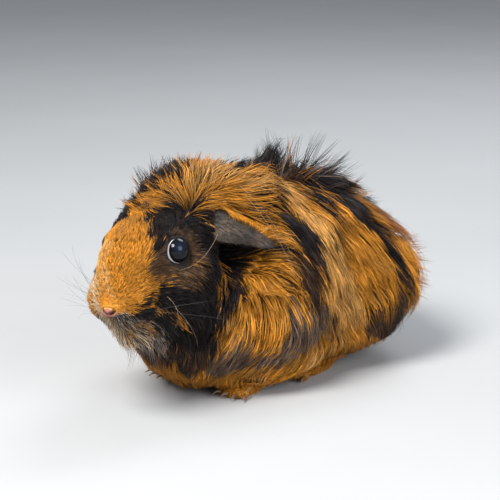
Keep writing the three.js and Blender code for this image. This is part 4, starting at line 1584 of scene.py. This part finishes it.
count = 420
chance, own = dice.random((5, count)), dice.normal(size=(3, count))
along = -10 + 12 * chance[0]
top = 5.2 - 0.012 * (along + 2) ** 2  # the upper edge of the ear
starts, normal, _ = ground.land(on_ear(along - 4, top + 2 + 5 * chance[1], -1 + own[0]))
middles = on_ear(along + 2 + 3 * chance[4], top + 0.3, 1.5 + 0.5 * chance[2])
ends = on_ear(along + 4 + 5 * chance[4], top - (0.3 + 4 * chance[3] ** 2), 1.2 + 0.5 * chance[2])
paths = bowed(starts, ends, 1.7 * (middles - (starts + ends) / 2), 4)
tint = 0.8 * marked(starts + normal * 4, chance[2], chance[3])[0] * np.exp(0.35 * own[2])[:, None]
# painted shade at the roots of the fringe, lighter towards the tips
colours = tint[:, None] * np.linspace(0.5, 1.2, 5)[None, :, None]
fringe = blades("coat_fringe_left", paths, np.linspace(0.22, 0.06, 5), HEAD_TURN @ EAR_OUT, colours, starts)
coat_pieces.append(fringe)
print(count, "hairs in the fringe")

# %% Pale hairs over ear and cheek
PALE = [  # start, a place to bow towards, and end, in the head's frame
    ((21, 22, 20), (36, 24, 6), (48, 15, -10)),
    ((24, 20, 17), (40, 20, 0), (50, 12, -16)),
    ((24, -6, 8), (24, -20, -2), (17, -31, 0)),
    ((17, -38, -8), (22, -33, -16), (16, -34, -24)),
    ((18, -34, -14), (23, -26, -26), (19, -20, -36)),
]
bends = np.array([path(head, *points) for points in PALE])
paths = bowed(bends[:, 0], bends[:, 2], bends[:, 1] - (bends[:, 0] + bends[:, 2]) / 2)
widths = np.linspace(0.13, 0.06, paths.shape[1])
outward = HEAD_TURN @ np.array((0.8, -0.4, 0.4))
coat_pieces.append(blades("pale_hairs", paths, widths, outward, (0.42, 0.30, 0.19), bends[:, 0]))
print(len(paths), "pale hairs")

# %% What each piece rides on
for piece in [skin_object, nose_pad, claws, *made_eyes.values(), *ear_objects.values(), *coat_pieces]:
    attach(piece, "root")
print(len(coat_pieces), "pieces of hair")

# %% [markdown]
# ## Studio
# A plain pale floor and three soft lamps. The main light comes from the upper front left, as from a large
# window. The camera looks down a little from the front left of the animal.

# %% Lamps, floor and camera
TARGET = Vector((0, 0.0066, 0.050))


def out_from_target(azimuth, elevation):
    """The way from the animal to a lamp or the camera; an azimuth of 0 is in front of it."""
    a, e = math.radians(azimuth), math.radians(elevation)
    return Vector((math.sin(a) * math.cos(e), -math.cos(a) * math.cos(e), math.sin(e)))


def looking_at_target(name, data, azimuth, elevation, distance):
    way = out_from_target(azimuth, elevation)
    made = linked(name, data)
    made.location = TARGET + way * distance
    made.rotation_euler = way.to_track_quat("Z", "Y").to_euler()
    return made


def soft_lamp(name, azimuth, elevation, distance, size, power, colour):
    """A round area lamp that looks at the animal."""
    light = bpy.data.lights.new(name, "AREA")
    light.shape = "DISK"
    light.size, light.energy, light.color = size, power, colour
    looking_at_target(name, light, azimuth, elevation, distance)


soft_lamp("window", 8, 48, 1.1, 0.5, 21, (1.0, 0.97, 0.93))
soft_lamp("fill", 85, 25, 1.4, 0.9, 11, (0.92, 0.96, 1.0))
soft_lamp("rim", 190, 50, 1.2, 0.6, 6, (0.95, 0.97, 1.0))

floor_bm = bmesh.new()
bmesh.ops.create_grid(floor_bm, x_segments=1, y_segments=1, size=4)
floor = object_of("floor", floor_bm, finish(
    "pale_floor", 0.85, (8, 0.02), tint=(0.44, 0.45, 0.46, 1), Specular_IOR_Level=0.2
))

world = bpy.data.worlds.new("studio")
bpy.context.scene.world = world
world.use_nodes = True
sky = world.node_tree.nodes["Background"]
sky.inputs["Color"].default_value = (0.75, 0.80, 0.85, 1)
sky.inputs["Strength"].default_value = 0.45

lens = bpy.data.cameras.new("camera")
lens.lens, lens.sensor_width = 117.2, 36
lens.shift_x, lens.shift_y = -0.004, 0.016
lens.clip_start = 0.05
bpy.context.scene.camera = looking_at_target("camera", lens, 42, 14, 0.7)
bpy.context.scene.view_settings.view_transform = "Standard"
